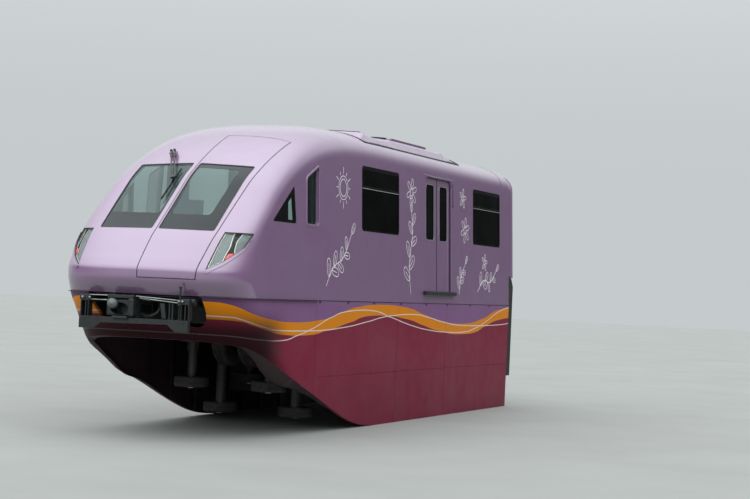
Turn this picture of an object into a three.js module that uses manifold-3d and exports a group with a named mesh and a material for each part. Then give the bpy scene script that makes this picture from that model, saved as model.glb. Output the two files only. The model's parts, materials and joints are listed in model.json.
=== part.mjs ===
// Leading car of a straddle-beam monorail train.
// Frame: millimetres, +Z up, nose towards -Y, the car's left side towards +X.
// The origin lies on top of the running beam, in the middle of the car.
import * as THREE from "three";
import { mergeVertices } from "three/addons/utils/BufferGeometryUtils.js";
import Module from "manifold-3d";

const wasm = await Module();
wasm.setup();

// Driving dimensions of the body
const HALF_WIDTH = 1330;
const SIDE_LEAN = 0.0469;
const SKIRT_HALF_WIDTH = 1335;
const SEAM_Z = 1000;
const ROOF_TOP_Z = 3554;
const WALL_TOP_Z = 3100;
const BODY_REAR_Y = 5852;
const CAB_REAR_Y = -2800;
const CHIN_REAR_Y = -3080;
const SKIRT_BOTTOM_Z = -850;
const COWL_WALL = 60;
const SALOON_WALL = 120;
const SKIRT_WALL = 50;
const CORNER_POWER = 2.8;
const CORNER_STEPS = 6;
const GAP = 0.3;

// Floor, doors and windows
const FLOOR_BOTTOM_Z = 1020;
const FLOOR_TOP_Z = 1190;
const DOOR_FRONT_Y = 1340;
const DOOR_REAR_Y = 2640;
const DOOR_MIDDLE_Y = (DOOR_FRONT_Y + DOOR_REAR_Y) / 2;
const DOOR_TOP_Z = 3040;
const DOOR_POCKET = { near: 35, far: 85 };
const DOOR_LEAF = { near: 41, far: 79, lap: 25, pocketLength: 655 };
const LEAF_WINDOW = { halfWidth: 190, bottom: 2020, top: 2935 };
const SALOON_WINDOW = { bottom: 2035, top: 3000 };
const SALOON_WINDOWS = [
  { place: "front", from: -1406, to: 146 },
  { place: "rear", from: 3767, to: 5318 },
];
const END_WALL_THICKNESS = 52;
const GANGWAY_DOOR = { halfWidth: 500, top: 3100 };
const GANGWAY = { length: 330, inset: 35, thickness: 45, bottom: -300 };

// Bogies under the floor
const BOGIE_PIVOTS = { front: -2000, rear: 3950 };
const LOAD_WHEEL = { radius: 420, inner: 90, outer: 310, axle: 50, rim: 215 };
const AXLE_OFFSET = 620;
const AXLE_END = 590;
const SIDE_BEAM = { inner: 510, outer: 700, bottom: 330, top: 560, half: 1180 };
const GUIDE_WHEEL = { radius: 250, halfWidth: 75, x: 607, z: -240, offset: 960 };
const STABILISER_Z = -640;
const PIN_RADIUS = 36;
const PIN_PLAY = 0.25;

// Lengthwise rows of the body: the centre line's point and the side wall's point, as y and z
const LOWER_ROWS = [
  { cy: -4050, cz: SKIRT_BOTTOM_Z, sy: -3100, sz: SKIRT_BOTTOM_Z },
  { cy: -4300, cz: -300, sy: -3350, sz: -300 },
  { cy: -4680, cz: 30, sy: -3700, sz: 30 },
  { cy: -5060, cz: 220, sy: -4120, sz: 220 },
  { cy: -5270, cz: 370, sy: -4350, sz: 370 },
  { cy: -5400, cz: 520, sy: -4470, sz: 520 },
  { cy: -5510, cz: 670, sy: -4580, sz: 670 },
  { cy: -5610, cz: 810, sy: -4690, sz: 810 },
  { cy: -5690, cz: 910, sy: -4770, sz: 910 },
  { cy: -5745, cz: SEAM_Z, sy: -4830, sz: SEAM_Z },
];
const UPPER_ROWS = [
  { cy: -5745, cz: SEAM_Z, sy: -4830, sz: SEAM_Z },
  { cy: -5800, cz: 1110, sy: -4890, sz: 1110 },
  { cy: -5835, cz: 1220, sy: -4930, sz: 1190 },
  { cy: -5835, cz: 1310, sy: -4950, sz: 1270 },
  { cy: -5780, cz: 1410, sy: -4960, sz: 1350 },
  { cy: -5690, cz: 1517, sy: -4955, sz: 1440 },
  { cy: -5493, cz: 1742, sy: -4925, sz: 1610 },
  { cy: -5260, cz: 1950, sy: -4870, sz: 1760 },
  { cy: -5028, cz: 2157, sy: -4780, sz: 1890 },
  { cy: -4780, cz: 2380, sy: -4530, sz: 2110 },
  { cy: -4527, cz: 2602, sy: -4280, sz: 2330 },
  { cy: -4311, cz: 2750, sy: -4080, sz: 2470 },
  { cy: -4095, cz: 2886, sy: -3890, sz: 2590 },
  { cy: -3850, cz: 3025, sy: -3660, sz: 2700 },
  { cy: -3596, cz: 3150, sy: -3420, sz: 2800 },
  { cy: -3391, cz: 3236, sy: -3230, sz: 2860 },
  { cy: -3000, cz: 3360, sy: -2880, sz: 2950 },
  { cy: -2500, cz: 3465, sy: -2420, sz: 3020 },
  { cy: -1900, cz: 3532, sy: -1860, sz: 3070 },
  { cy: -1200, cz: 3550, sy: -1190, sz: 3095 },
  { cy: -400, cz: ROOF_TOP_Z, sy: -400, sz: WALL_TOP_Z },
  { cy: BODY_REAR_Y, cz: ROOF_TOP_Z, sy: BODY_REAR_Y, sz: WALL_TOP_Z },
];

// Lower edge of the chin and the skirts, seen from the side, as y and z
const LOWER_EDGE = [
  [-6300, 430], [-5450, 430], [-5200, 415], [-4850, 330], [-4150, 70], [-3500, -165], [-3080, -300],
  [-2500, -500], [-2000, -660], [-1600, -760], [-1200, -820], [-700, SKIRT_BOTTOM_Z],
];

// Outlines on the nose, seen from the front, as x and z
const HATCH_SIDES = [[20, 1210], [800, 1210], [868, 1838], [948, 3000], [960, 3400], [20, 3400]];
const HATCH_BOTTOM_Z = 1210;
const HATCH_TOP = { y: -3391, z: 3236, slope: 0.4 };
const WINDSCREEN = [[43, 1848], [823, 1838], [846, 2752], [43, 2786]];
const HEADLAMP = [
  [915, 1335], [1000, 1392], [1082, 1453], [1150, 1531], [1229, 1643], [1256, 1798], [1254, 1830], [957, 1834],
];

// Outlines on the cab's sides, as y and z
const CAB_TRIANGLE = [[-4540, 2022], [-3775, 2022], [-3845, 2534]];
const CAB_NARROW = [[-3420, 2040], [-3020, 2040], [-3005, 2850], [-3420, 2665]];

// Finishes: colour, roughness and metalness
const finish = (color, roughness, metalness = 0) =>
  new THREE.MeshStandardMaterial({ color, roughness, metalness });
const FINISH = {
  lilac: finish(0x9a86a8, 0.35),
  purple: finish(0x6d5876, 0.35),
  maroon: finish(0x5e2537, 0.35),
  glass: finish(0x1c2224, 0.08),
  screen: finish(0x6f8583, 0.08),
  lamp: finish(0xb9c4c6, 0.15),
  slate: finish(0x2b3033, 0.6, 0.4),
  steel: finish(0x585c60, 0.55, 0.6),
  alloy: finish(0x9a9da0, 0.4, 0.8),
  rubber: finish(0x161616, 0.9),
  floor: finish(0x5a5c5e, 0.8),
  lining: finish(0xb4b2ac, 0.7),
  seat: finish(0x3d4a63, 0.9),
};

const car = new THREE.Group();

// Turns a closed three.js geometry into a solid
function solidOf(geometry) {
  const plain = geometry.index ? geometry : geometry.clone();
  plain.deleteAttribute("normal");
  plain.deleteAttribute("uv");
  const merged = mergeVertices(plain, 1e-3);
  const mesh = new wasm.Mesh({
    numProp: 3,
    vertProperties: new Float32Array(merged.attributes.position.array),
    triVerts: new Uint32Array(merged.index.array),
  });
  return new wasm.Manifold(mesh);
}

// Turns a solid back into a geometry with flat faces
function geometryOf(solid) {
  const mesh = solid.getMesh();
  const geometry = new THREE.BufferGeometry();
  geometry.setAttribute("position", new THREE.BufferAttribute(new Float32Array(mesh.vertProperties), 3));
  geometry.setIndex(Array.from(mesh.triVerts));
  geometry.computeVertexNormals();
  return geometry;
}

// Adds a solid to the car as a named mesh
function add(name, solid, material) {
  const mesh = new THREE.Mesh(geometryOf(solid), material);
  mesh.name = name;
  car.add(mesh);
}

function joined(solids) {
  return solids.reduce((whole, piece) => whole.add(piece));
}

function box(x0, x1, y0, y1, z0, z1) {
  const geometry = new THREE.BoxGeometry(x1 - x0, y1 - y0, z1 - z0);
  geometry.translate((x0 + x1) / 2, (y0 + y1) / 2, (z0 + z1) / 2);
  return solidOf(geometry);
}

function extruded(outline, depth) {
  const shape = new THREE.Shape(outline.map(([a, b]) => new THREE.Vector2(a, b)));
  return new THREE.ExtrudeGeometry(shape, { depth, bevelEnabled: false, steps: 1 });
}

// Prism whose outline is given in y and z, running from x0 to x1
function prismAlongX(outline, x0, x1) {
  const geometry = extruded(outline, x1 - x0);
  geometry.applyMatrix4(new THREE.Matrix4().set(0, 0, 1, x0, 1, 0, 0, 0, 0, 1, 0, 0, 0, 0, 0, 1));
  return solidOf(geometry);
}

// Prism whose outline is given in x and z, running from y0 to y1
function prismAlongY(outline, y0, y1) {
  const geometry = extruded(outline, y1 - y0);
  geometry.applyMatrix4(new THREE.Matrix4().set(1, 0, 0, 0, 0, 0, -1, y1, 0, 1, 0, 0, 0, 0, 0, 1));
  return solidOf(geometry);
}

// Round piece from a closed profile of radius and height, standing on +Z
function turned(profile, segments) {
  const points = profile.map(([radius, height]) => new THREE.Vector2(radius, height));
  const geometry = new THREE.LatheGeometry(points, segments);
  geometry.rotateX(Math.PI / 2);
  const solid = solidOf(geometry);
  return solid.volume() > 0 ? solid : solidOf(flipped(geometry));
}

function flipped(geometry) {
  const index = geometry.index.array;
  for (let i = 0; i < index.length; i += 3) {
    const first = index[i];
    index[i] = index[i + 1];
    index[i + 1] = first;
  }
  return geometry;
}

function cylinderZ(x, y, z0, z1, radius, segments = 16) {
  const geometry = new THREE.CylinderGeometry(radius, radius, z1 - z0, segments);
  geometry.rotateX(Math.PI / 2);
  geometry.translate(x, y, (z0 + z1) / 2);
  return solidOf(geometry);
}

function cylinderX(x0, x1, y, z, radius, segments = 16) {
  const geometry = new THREE.CylinderGeometry(radius, radius, x1 - x0, segments);
  geometry.rotateZ(Math.PI / 2);
  geometry.translate((x0 + x1) / 2, y, z);
  return solidOf(geometry);
}

function mirrored(outline) {
  return outline.map(([x, z]) => [-x, z]);
}

// An outline pulled in towards its middle by about the given distance
function shrunk(outline, distance) {
  const count = outline.length;
  const turn = THREE.ShapeUtils.isClockWise(outline.map(([a, b]) => new THREE.Vector2(a, b))) ? -1 : 1;
  return outline.map(([a, b], i) => {
    const [pa, pb] = outline[(i + count - 1) % count];
    const [na, nb] = outline[(i + 1) % count];
    const before = new THREE.Vector2(a - pa, b - pb).normalize();
    const after = new THREE.Vector2(na - a, nb - b).normalize();
    const inward = new THREE.Vector2(-before.y - after.y, before.x + after.x).normalize();
    const cosine = Math.max(0.3, inward.x * -before.y + inward.y * before.x);
    const reach = (turn * distance) / cosine;
    return [a + inward.x * reach, b + inward.y * reach];
  });
}

// Half width of the body at a height
function halfWidth(z) {
  return z >= SEAM_Z ? HALF_WIDTH - SIDE_LEAN * (z - SEAM_Z) : SKIRT_HALF_WIDTH;
}

// A line of points moved to its inner side, which lies on the right of its direction
function movedIn(line, distance) {
  return line.map(([y, z], i) => {
    const [py, pz] = line[Math.max(0, i - 1)];
    const [ny, nz] = line[Math.min(line.length - 1, i + 1)];
    const length = Math.hypot(ny - py, nz - pz);
    return [y + (distance * (nz - pz)) / length, z - (distance * (ny - py)) / length];
  });
}

// Solid within the body's surface, pulled in by the inset, with its rear and bottom closed flat
function bodySolid(rows, inset, rearY, top, bottom) {
  const centre = movedIn(rows.map(({ cy, cz }) => [cy, cz]), inset);
  const side = movedIn(rows.map(({ sy, sz }) => [sy, sz]), inset);
  const last = rows.length - 1;
  const open = rows[last].cy === BODY_REAR_Y;
  const rings = [];
  for (let step = -CORNER_STEPS; step <= CORNER_STEPS; step += 1) {
    const angle = (Math.abs(step) / CORNER_STEPS) * (Math.PI / 2);
    const across = Math.sign(step) * Math.sin(angle) ** (2 / CORNER_POWER);
    const depth = 1 - Math.max(0, Math.cos(angle)) ** (2 / CORNER_POWER);
    const line = centre.map(([y, z], i) => [y + (side[i][0] - y) * depth, z + (side[i][1] - z) * depth]);
    line[0][1] = bottom;
    if (open) line[last][0] = rearY;
    else line[last][1] = top;
    if (!open) line.push([rearY, top]);
    line.push([rearY, bottom]);
    rings.push(line.map(([y, z]) => [across * (halfWidth(z) - inset), y, z]));
  }
  const size = rings[0].length;
  const vertices = rings.flat(2);
  const faces = [];
  for (let ring = 0; ring + 1 < rings.length; ring += 1) {
    for (let i = 0; i < size; i += 1) {
      const a = ring * size + i;
      const b = ring * size + ((i + 1) % size);
      faces.push(a, b, a + size, b, b + size, a + size);
    }
  }
  const outline = rings[0].map(([, y, z]) => new THREE.Vector2(y, z)).reverse();
  const lastRing = (rings.length - 1) * size;
  for (const corners of THREE.ShapeUtils.triangulateShape(outline, [])) {
    const [a, b, c] = corners.map((corner) => size - 1 - corner);
    faces.push(a, b, c, lastRing + a, lastRing + c, lastRing + b);
  }
  const geometry = new THREE.BufferGeometry();
  geometry.setAttribute("position", new THREE.BufferAttribute(new Float32Array(vertices), 3));
  geometry.setIndex(faces);
  const solid = solidOf(geometry);
  return solid.volume() > 0 ? solid : solidOf(flipped(geometry));
}

const FAR = 400;
const upperSolid = (inset) =>
  bodySolid(UPPER_ROWS, inset, BODY_REAR_Y + (inset ? FAR : 0), 0, inset ? SEAM_Z - FAR / 10 : SEAM_Z);
const lowerSolid = (inset) => bodySolid(
  LOWER_ROWS, inset, BODY_REAR_Y + (inset ? FAR : 0),
  inset ? SEAM_Z + FAR / 10 : SEAM_Z, inset ? SKIRT_BOTTOM_Z - FAR : SKIRT_BOTTOM_Z,
);

// Slab on a side wall between two depths below its outer face; side is 1 on the left and -1 on the right
function sideSlab(side, y0, y1, z0, z1, near, far) {
  const outline = [
    [side * (halfWidth(z0) - near), z0], [side * (halfWidth(z1) - near), z1],
    [side * (halfWidth(z1) - far), z1], [side * (halfWidth(z0) - far), z0],
  ];
  return prismAlongY(outline, y0, y1);
}

// Prism through a side wall with an outline in y and z, between two depths below the outer face
function sidePlug(side, outline, near, far) {
  const heights = outline.map(([, z]) => z);
  const lengths = outline.map(([y]) => y);
  const slab = sideSlab(
    side, Math.min(...lengths) - 1, Math.max(...lengths) + 1,
    Math.min(...heights) - 1, Math.max(...heights) + 1, near, far,
  );
  const reach = HALF_WIDTH + FAR;
  return slab.intersect(side > 0 ? prismAlongX(outline, 0, reach) : prismAlongX(outline, -reach, 0));
}

const WIDE = 2000;
const LONG = 8000;
const SIDES = [{ name: "left", sign: 1 }, { name: "right", sign: -1 }];

const outerUpper = upperSolid(0);
const outerLower = lowerSolid(0);
const cowlShell = outerUpper.subtract(upperSolid(COWL_WALL));
const saloonShell = outerUpper.subtract(upperSolid(SALOON_WALL));

// Escape hatch: a slice of the nose between its two long sides, from the bumper line to the hinge line,
// where its upper edge lies against the cowl and turns about the outer skin
const HATCH_GAP = 6;
const HATCH_WALL = 45;
function hatchSlice(bottomGap, hingeGap) {
  const hingeY = HATCH_TOP.y - hingeGap;
  return prismAlongX([
    [-6300, HATCH_BOTTOM_Z + bottomGap], [-4800, HATCH_BOTTOM_Z + bottomGap],
    [hingeY + HATCH_TOP.slope * 300, HATCH_TOP.z - 300], [hingeY - HATCH_TOP.slope * 200, HATCH_TOP.z + 200],
    [-6300, 3400],
  ], 0, WIDE);
}
const hatchRegion = prismAlongY(HATCH_SIDES, -6300, -3000).intersect(hatchSlice(0, 0));
const hatchPanel = prismAlongY(shrunk(HATCH_SIDES, HATCH_GAP), -6300, -3000)
  .intersect(hatchSlice(HATCH_GAP, 2 * GAP));
const hatchShell = outerUpper.subtract(upperSolid(HATCH_WALL));
const screenHole = (outline) => prismAlongY(outline, -6000, -3900);
const GLASS = { near: 8, far: 26 };
const screenGlass = upperSolid(GLASS.near).subtract(upperSolid(GLASS.far));

add("escape_hatch", hatchShell.intersect(hatchPanel).subtract(screenHole(WINDSCREEN)), FINISH.lilac);
add("hatch_glass", screenGlass.intersect(screenHole(shrunk(WINDSCREEN, GAP))), FINISH.screen);

// The wiper's boss stands on the cowl above the fixed windscreen; its arms swing in a plane tilted back
const WIPER = { x: -460, y: -4075, z: 2897, tiltDegrees: 35, bossTop: 60, bossSize: [54, 30] };
const onCowl = (solid) => solid.rotate([WIPER.tiltDegrees, 0, 0]).translate([WIPER.x, WIPER.y, WIPER.z]);
const [bossX, bossY] = WIPER.bossSize;
const wiperBoss = onCowl(box(-bossX, bossX, -bossY, bossY, -40, WIPER.bossTop));

// Nose cowl with the holes for the hatch, the fixed windscreen, the lamps and the cab's side windows
const lampHole = (outline) => prismAlongY(outline, -6000, -4780);
const cabHoles = SIDES.flatMap(({ sign }) => [
  sidePlug(sign, CAB_TRIANGLE, -FAR, COWL_WALL + 20),
  sidePlug(sign, CAB_NARROW, -FAR, COWL_WALL + 20),
]);
const cowl = cowlShell
  .intersect(box(-WIDE, WIDE, -LONG, CAB_REAR_Y - GAP, SEAM_Z, 4000))
  .subtract(hatchRegion)
  .subtract(screenHole(mirrored(WINDSCREEN)))
  .subtract(lampHole(HEADLAMP))
  .subtract(lampHole(mirrored(HEADLAMP)))
  .subtract(joined(cabHoles))
  .add(wiperBoss);
add("nose_cowl", cowl, FINISH.lilac);
add("windscreen", screenGlass.intersect(screenHole(shrunk(mirrored(WINDSCREEN), GAP))), FINISH.screen);

const lampShell = upperSolid(4).subtract(upperSolid(COWL_WALL));
for (const { name, sign } of SIDES) {
  const outline = sign > 0 ? HEADLAMP : mirrored(HEADLAMP);
  add(`headlamp_${name}`, lampShell.intersect(lampHole(shrunk(outline, GAP))), FINISH.lamp);
}

// Cab side glass: one pane behind the cowl, raised to the surface in the triangular window
const CAB_PANE_THICKNESS = 18;
const PANE_OUTLINE = [[-4640, 1980], [-2900, 1980], [-2900, 2880], [-3420, 2760], [-3960, 2560]];
for (const { name, sign } of SIDES) {
  const plate = sidePlug(sign, PANE_OUTLINE, COWL_WALL + GAP, COWL_WALL + CAB_PANE_THICKNESS)
    .intersect(upperSolid(COWL_WALL + GAP));
  const raised = sidePlug(sign, shrunk(CAB_TRIANGLE, GAP), GLASS.near, COWL_WALL + CAB_PANE_THICKNESS)
    .intersect(upperSolid(GLASS.near));
  add(`cab_glass_${name}`, plate.add(raised), FINISH.glass);
}

// Chin below the seam, open where the coupler comes out
const RECESS = { halfWidth: 800, bottom: 600, depthY: -5050 };
const lowerCut = prismAlongX([...LOWER_EDGE, [-700, -1400], [-6300, -1400]], -WIDE, WIDE);
const chin = outerLower.subtract(lowerSolid(COWL_WALL))
  .intersect(box(-WIDE, WIDE, -LONG, CHIN_REAR_Y - GAP, -LONG, SEAM_Z - GAP))
  .subtract(lowerCut)
  .subtract(box(-RECESS.halfWidth, RECESS.halfWidth, -LONG, RECESS.depthY, RECESS.bottom, SEAM_Z + FAR));
add("nose_chin", chin, FINISH.maroon);

// Skirts with their panel joints, as y of the upright joints and z of the level one
const SKIRT_JOINTS_Y = [113, 2378];
const SKIRT_JOINT_Z = -70;
const SKIRT_JOINT = { width: 12, depth: 8 };
const skirtShell = outerLower.subtract(lowerSolid(SKIRT_WALL)).subtract(lowerCut);
for (const { name, sign } of SIDES) {
  const outside = sign * SKIRT_HALF_WIDTH;
  const grooveX = [outside - sign * SKIRT_JOINT.depth, outside + sign * FAR].sort((a, b) => a - b);
  const half = SKIRT_JOINT.width / 2;
  const grooves = SKIRT_JOINTS_Y.map((y) => box(...grooveX, y - half, y + half, -LONG, SEAM_Z));
  grooves.push(box(...grooveX, CHIN_REAR_Y + 150, BODY_REAR_Y + FAR, SKIRT_JOINT_Z - half, SKIRT_JOINT_Z + half));
  const skirt = skirtShell
    .intersect(box(...[0, sign * WIDE].sort((a, b) => a - b), CHIN_REAR_Y, BODY_REAR_Y, -LONG, SEAM_Z - GAP))
    .subtract(joined(grooves));
  add(`skirt_${name}`, skirt, FINISH.maroon);
}

// Saloon walls with windows, doorway and door pockets
const wallRear = BODY_REAR_Y - END_WALL_THICKNESS - GAP;
for (const { name, sign } of SIDES) {
  const half = box(...[sign * 300, sign * WIDE].sort((a, b) => a - b), CAB_REAR_Y, wallRear, SEAM_Z, WALL_TOP_Z - GAP);
  const holes = SALOON_WINDOWS.map(({ from, to }) =>
    sideSlab(sign, from, to, SALOON_WINDOW.bottom, SALOON_WINDOW.top, -FAR, FAR / 2));
  holes.push(sideSlab(sign, DOOR_FRONT_Y, DOOR_REAR_Y, FLOOR_TOP_Z - 60, DOOR_TOP_Z, -FAR, FAR / 2));
  holes.push(sideSlab(
    sign, DOOR_FRONT_Y - DOOR_LEAF.pocketLength, DOOR_REAR_Y + DOOR_LEAF.pocketLength,
    FLOOR_TOP_Z, DOOR_TOP_Z, DOOR_POCKET.near, DOOR_POCKET.far,
  ));
  add(`side_wall_${name}`, saloonShell.intersect(half).subtract(joined(holes)), FINISH.purple);
  for (const { place, from, to } of SALOON_WINDOWS) {
    const pane = sideSlab(
      sign, from + GAP, to - GAP, SALOON_WINDOW.bottom + GAP, SALOON_WINDOW.top - GAP, GLASS.near, GLASS.far,
    );
    add(`saloon_window_${name}_${place}`, pane, FINISH.glass);
  }
}
const roofBox = box(-WIDE, WIDE, CAB_REAR_Y, wallRear, WALL_TOP_Z, 4000);
add("roof_shell", saloonShell.intersect(roofBox), FINISH.lilac);

// Sliding door leaves with their glass
const LEAVES = [
  { place: "front", from: DOOR_FRONT_Y - DOOR_LEAF.lap, to: DOOR_MIDDLE_Y - GAP, shift: -1 },
  { place: "rear", from: DOOR_MIDDLE_Y + GAP, to: DOOR_REAR_Y + DOOR_LEAF.lap, shift: 1 },
];
for (const { name, sign } of SIDES) {
  for (const { place, from, to, shift } of LEAVES) {
    const middle = DOOR_MIDDLE_Y + (shift * (DOOR_REAR_Y - DOOR_FRONT_Y)) / 4;
    const window = [middle - LEAF_WINDOW.halfWidth, middle + LEAF_WINDOW.halfWidth];
    const leaf = sideSlab(sign, from, to, FLOOR_TOP_Z + PIN_PLAY, DOOR_TOP_Z - 6, DOOR_LEAF.near, DOOR_LEAF.far)
      .subtract(sideSlab(sign, ...window, LEAF_WINDOW.bottom, LEAF_WINDOW.top, 0, FAR / 2));
    const pane = sideSlab(
      sign, window[0] + GAP, window[1] - GAP, LEAF_WINDOW.bottom + GAP, LEAF_WINDOW.top - GAP,
      DOOR_LEAF.near + 5, DOOR_LEAF.far - 13,
    );
    add(`door_leaf_${name}_${place}`, leaf, FINISH.purple);
    add(`door_glass_${name}_${place}`, pane, FINISH.glass);
  }
}

// Rear end wall with the gangway's doorway
const endWall = outerUpper
  .intersect(box(-WIDE, WIDE, BODY_REAR_Y - END_WALL_THICKNESS, BODY_REAR_Y, SEAM_Z, 4000))
  .subtract(box(-GANGWAY_DOOR.halfWidth, GANGWAY_DOOR.halfWidth, 0, LONG, FLOOR_TOP_Z, GANGWAY_DOOR.top));
add("rear_end_wall", endWall, FINISH.purple);

// This car's half of the gangway: a hood over the top and a curtain down each side
const hoodRing = (inset) => {
  const rows = UPPER_ROWS.slice(-2).map((row) => {
    const y = row.cy === BODY_REAR_Y ? row.cy : 0;
    return { ...row, cy: y, sy: y };
  });
  return bodySolid(rows, inset, BODY_REAR_Y + FAR, 0, SEAM_Z);
};
const hoodFrom = BODY_REAR_Y + GAP;
const hoodTo = BODY_REAR_Y + GANGWAY.length;
const hood = hoodRing(GANGWAY.inset).subtract(hoodRing(GANGWAY.inset + GANGWAY.thickness))
  .intersect(box(-WIDE, WIDE, hoodFrom, hoodTo, SEAM_Z, 4000));
const curtainX = halfWidth(SEAM_Z) - GANGWAY.inset;
const curtains = SIDES.map(({ sign }) => box(
  ...[sign * curtainX, sign * (curtainX - GANGWAY.thickness)].sort((a, b) => a - b),
  hoodFrom, hoodTo, GANGWAY.bottom, SEAM_Z + 1,
));
add("gangway_hood", joined([hood, ...curtains]), FINISH.rubber);

// Floor and underframe, with the door sills, the bogies' bolsters and the equipment cases
const SILL = { reach: 55, front: 1240, rear: 2740, bottom: 1130 };
const EQUIPMENT = { front: -550, rear: 2450, halfWidth: 1180, bottom: 260, legBottom: -480, legInner: 480 };
const floorSlab = box(-WIDE, WIDE, -5640, wallRear, FLOOR_BOTTOM_Z, FLOOR_TOP_Z);
const cabFloor = floorSlab.intersect(upperSolid(COWL_WALL + GAP))
  .intersect(box(-WIDE, WIDE, -LONG, CAB_REAR_Y - GAP, 0, 4000));
const saloonFloor = floorSlab.intersect(upperSolid(SALOON_WALL + GAP));
const sills = SIDES.flatMap(({ sign }) => [
  sideSlab(sign, DOOR_FRONT_Y + GAP, DOOR_REAR_Y - GAP, SILL.bottom, FLOOR_TOP_Z, -SILL.reach, 400),
  sideSlab(sign, SILL.front, SILL.rear, SILL.bottom, FLOOR_TOP_Z, -SILL.reach, -GAP),
]);
const BOLSTER = { halfWidth: 800, half: 240, bottom: 940 };
const bolsters = Object.values(BOGIE_PIVOTS).map((y) =>
  box(-BOLSTER.halfWidth, BOLSTER.halfWidth, y - BOLSTER.half, y + BOLSTER.half, BOLSTER.bottom, FLOOR_BOTTOM_Z + 1));
const equipment = box(
  -EQUIPMENT.halfWidth, EQUIPMENT.halfWidth, EQUIPMENT.front, EQUIPMENT.rear, EQUIPMENT.bottom, FLOOR_BOTTOM_Z + 1,
);
const equipmentLegs = SIDES.map(({ sign }) => box(
  ...[sign * EQUIPMENT.legInner, sign * EQUIPMENT.halfWidth].sort((a, b) => a - b),
  EQUIPMENT.front, EQUIPMENT.rear, EQUIPMENT.legBottom, EQUIPMENT.bottom + 1,
));
const headstock = box(-760, 760, -4980, -4880, 640, FLOOR_BOTTOM_Z + 1);
const DRAWBAR = { halfWidth: 110, bottom: 700, top: 860, front: 5300 };
const drawbar = joined([
  box(-DRAWBAR.halfWidth, DRAWBAR.halfWidth, DRAWBAR.front, hoodTo, DRAWBAR.bottom, DRAWBAR.top),
  box(-400, 400, DRAWBAR.front, DRAWBAR.front + 90, DRAWBAR.bottom, FLOOR_BOTTOM_Z + 1),
]);
add("underframe", joined([
  cabFloor, saloonFloor, ...sills, ...bolsters, equipment, ...equipmentLegs, headstock, drawbar,
]), FINISH.floor);

// Air-conditioning fairing across the roof: its section, as x, and the height of its two upper edges along the car
const POD = { footX: 1105, footZ: 3365, edgeX: 1000, crown: 90, inside: 3300 };
const POD_ROWS = [
  { y: -1040, edge: 3400 }, { y: -860, edge: 3541 }, { y: -330, edge: 3490 }, { y: -240, edge: 3492 },
  { y: 420, edge: 3530 }, { y: 2720, edge: 3530 }, { y: 3360, edge: 3400 },
];
const podSection = ({ y, edge }) => [
  [-POD.footX, y, POD.inside], [-POD.footX, y, POD.footZ], [-POD.edgeX, y, edge], [0, y, edge + POD.crown],
  [POD.edgeX, y, edge], [POD.footX, y, POD.footZ], [POD.footX, y, POD.inside],
];
const podStretches = POD_ROWS.slice(1).map((row, i) =>
  wasm.Manifold.hull([...podSection(POD_ROWS[i]), ...podSection(row)]));
add("aircon_pod", joined(podStretches).subtract(outerUpper.translate([0, 0, GAP])), FINISH.lilac);

// Coupler in the chin's recess
const COUPLER = { x: -190, tip: -5890 };
const couplerHead = joined([
  box(COUPLER.x - 205, COUPLER.x + 205, COUPLER.tip + 60, COUPLER.tip + 240, 700, 900),
  box(COUPLER.x - 160, COUPLER.x + 190, COUPLER.tip + 20, COUPLER.tip + 260, 899, 950),
  box(COUPLER.x + 110, COUPLER.x + 205, COUPLER.tip, COUPLER.tip + 120, 700, 900),
  cylinderZ(COUPLER.x - 130, COUPLER.tip + 90, 700, 920, 90, 14),
  box(COUPLER.x - 70, COUPLER.x + 70, COUPLER.tip + 200, -4980 - GAP, 740, 860),
]);
add("coupler", couplerHead, FINISH.slate);

// Guard beam under the coupler with its posts and arms, as x and z of the front outline
const GUARD = { front: -5850, thickness: 70, halfWidth: 781, postInner: 660, bottom: 534, top: 686, rise: 74 };
const guardSide = [
  [540, GUARD.bottom], [GUARD.halfWidth, GUARD.bottom], [GUARD.halfWidth, GUARD.top],
];
const guardOutline = [
  [440, GUARD.bottom + GUARD.rise], ...guardSide, ...mirrored(guardSide).reverse(),
  [-440, GUARD.bottom + GUARD.rise],
];
const guardPosts = SIDES.flatMap(({ sign }) => {
  const across = [sign * GUARD.postInner, sign * GUARD.halfWidth].sort((a, b) => a - b);
  return [
    box(...across, GUARD.front + 20, GUARD.front + GUARD.thickness + 60, GUARD.top - 1, 930),
    box(...across, GUARD.front + 20, -4980 - GAP, 860, 930),
  ];
});
add("coupler_guard", joined([
  prismAlongY(guardOutline, GUARD.front, GUARD.front + GUARD.thickness), ...guardPosts,
]), FINISH.slate);

// Wiper, drawn in the plane of its arms: two parallel arms lean over to the blade, which stays upright
const ARM = { length: 760, lean: 24.5, spacing: 45, halfWidth: 8, bottom: 64, top: 84, hubRadius: 19 };
const BLADE = { halfWidth: 12, below: -410, above: 270, bottom: 8, height: 22, slopeDegrees: 4.8, hubRadius: 14 };
const armPair = [-1, 1].flatMap((end) => {
  const x = (end * ARM.spacing) / 2;
  return [
    cylinderZ(x, 0, WIPER.bossTop + GAP, ARM.top + 8, ARM.hubRadius, 12),
    box(x - ARM.halfWidth, x + ARM.halfWidth, -ARM.length, 0, ARM.bottom, ARM.top),
  ];
});
const armHead = box(-36, 36, -ARM.length - 18, -ARM.length + 18, ARM.bottom, ARM.top + 4);
add("wiper_arms", onCowl(joined([...armPair, armHead]).rotate([0, 0, ARM.lean])), FINISH.rubber);

const lean = THREE.MathUtils.degToRad(ARM.lean);
const bladeAt = [ARM.length * Math.sin(lean), -ARM.length * Math.cos(lean), 0];
const blade = joined([
  box(-BLADE.halfWidth, BLADE.halfWidth, BLADE.below, BLADE.above, BLADE.bottom, BLADE.bottom + BLADE.height)
    .rotate([BLADE.slopeDegrees, 0, 0]),
  cylinderZ(0, 0, BLADE.bottom + BLADE.height - 2, ARM.bottom - GAP, BLADE.hubRadius, 12),
]);
add("wiper_blade", onCowl(blade.translate(bladeAt)), FINISH.rubber);

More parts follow.
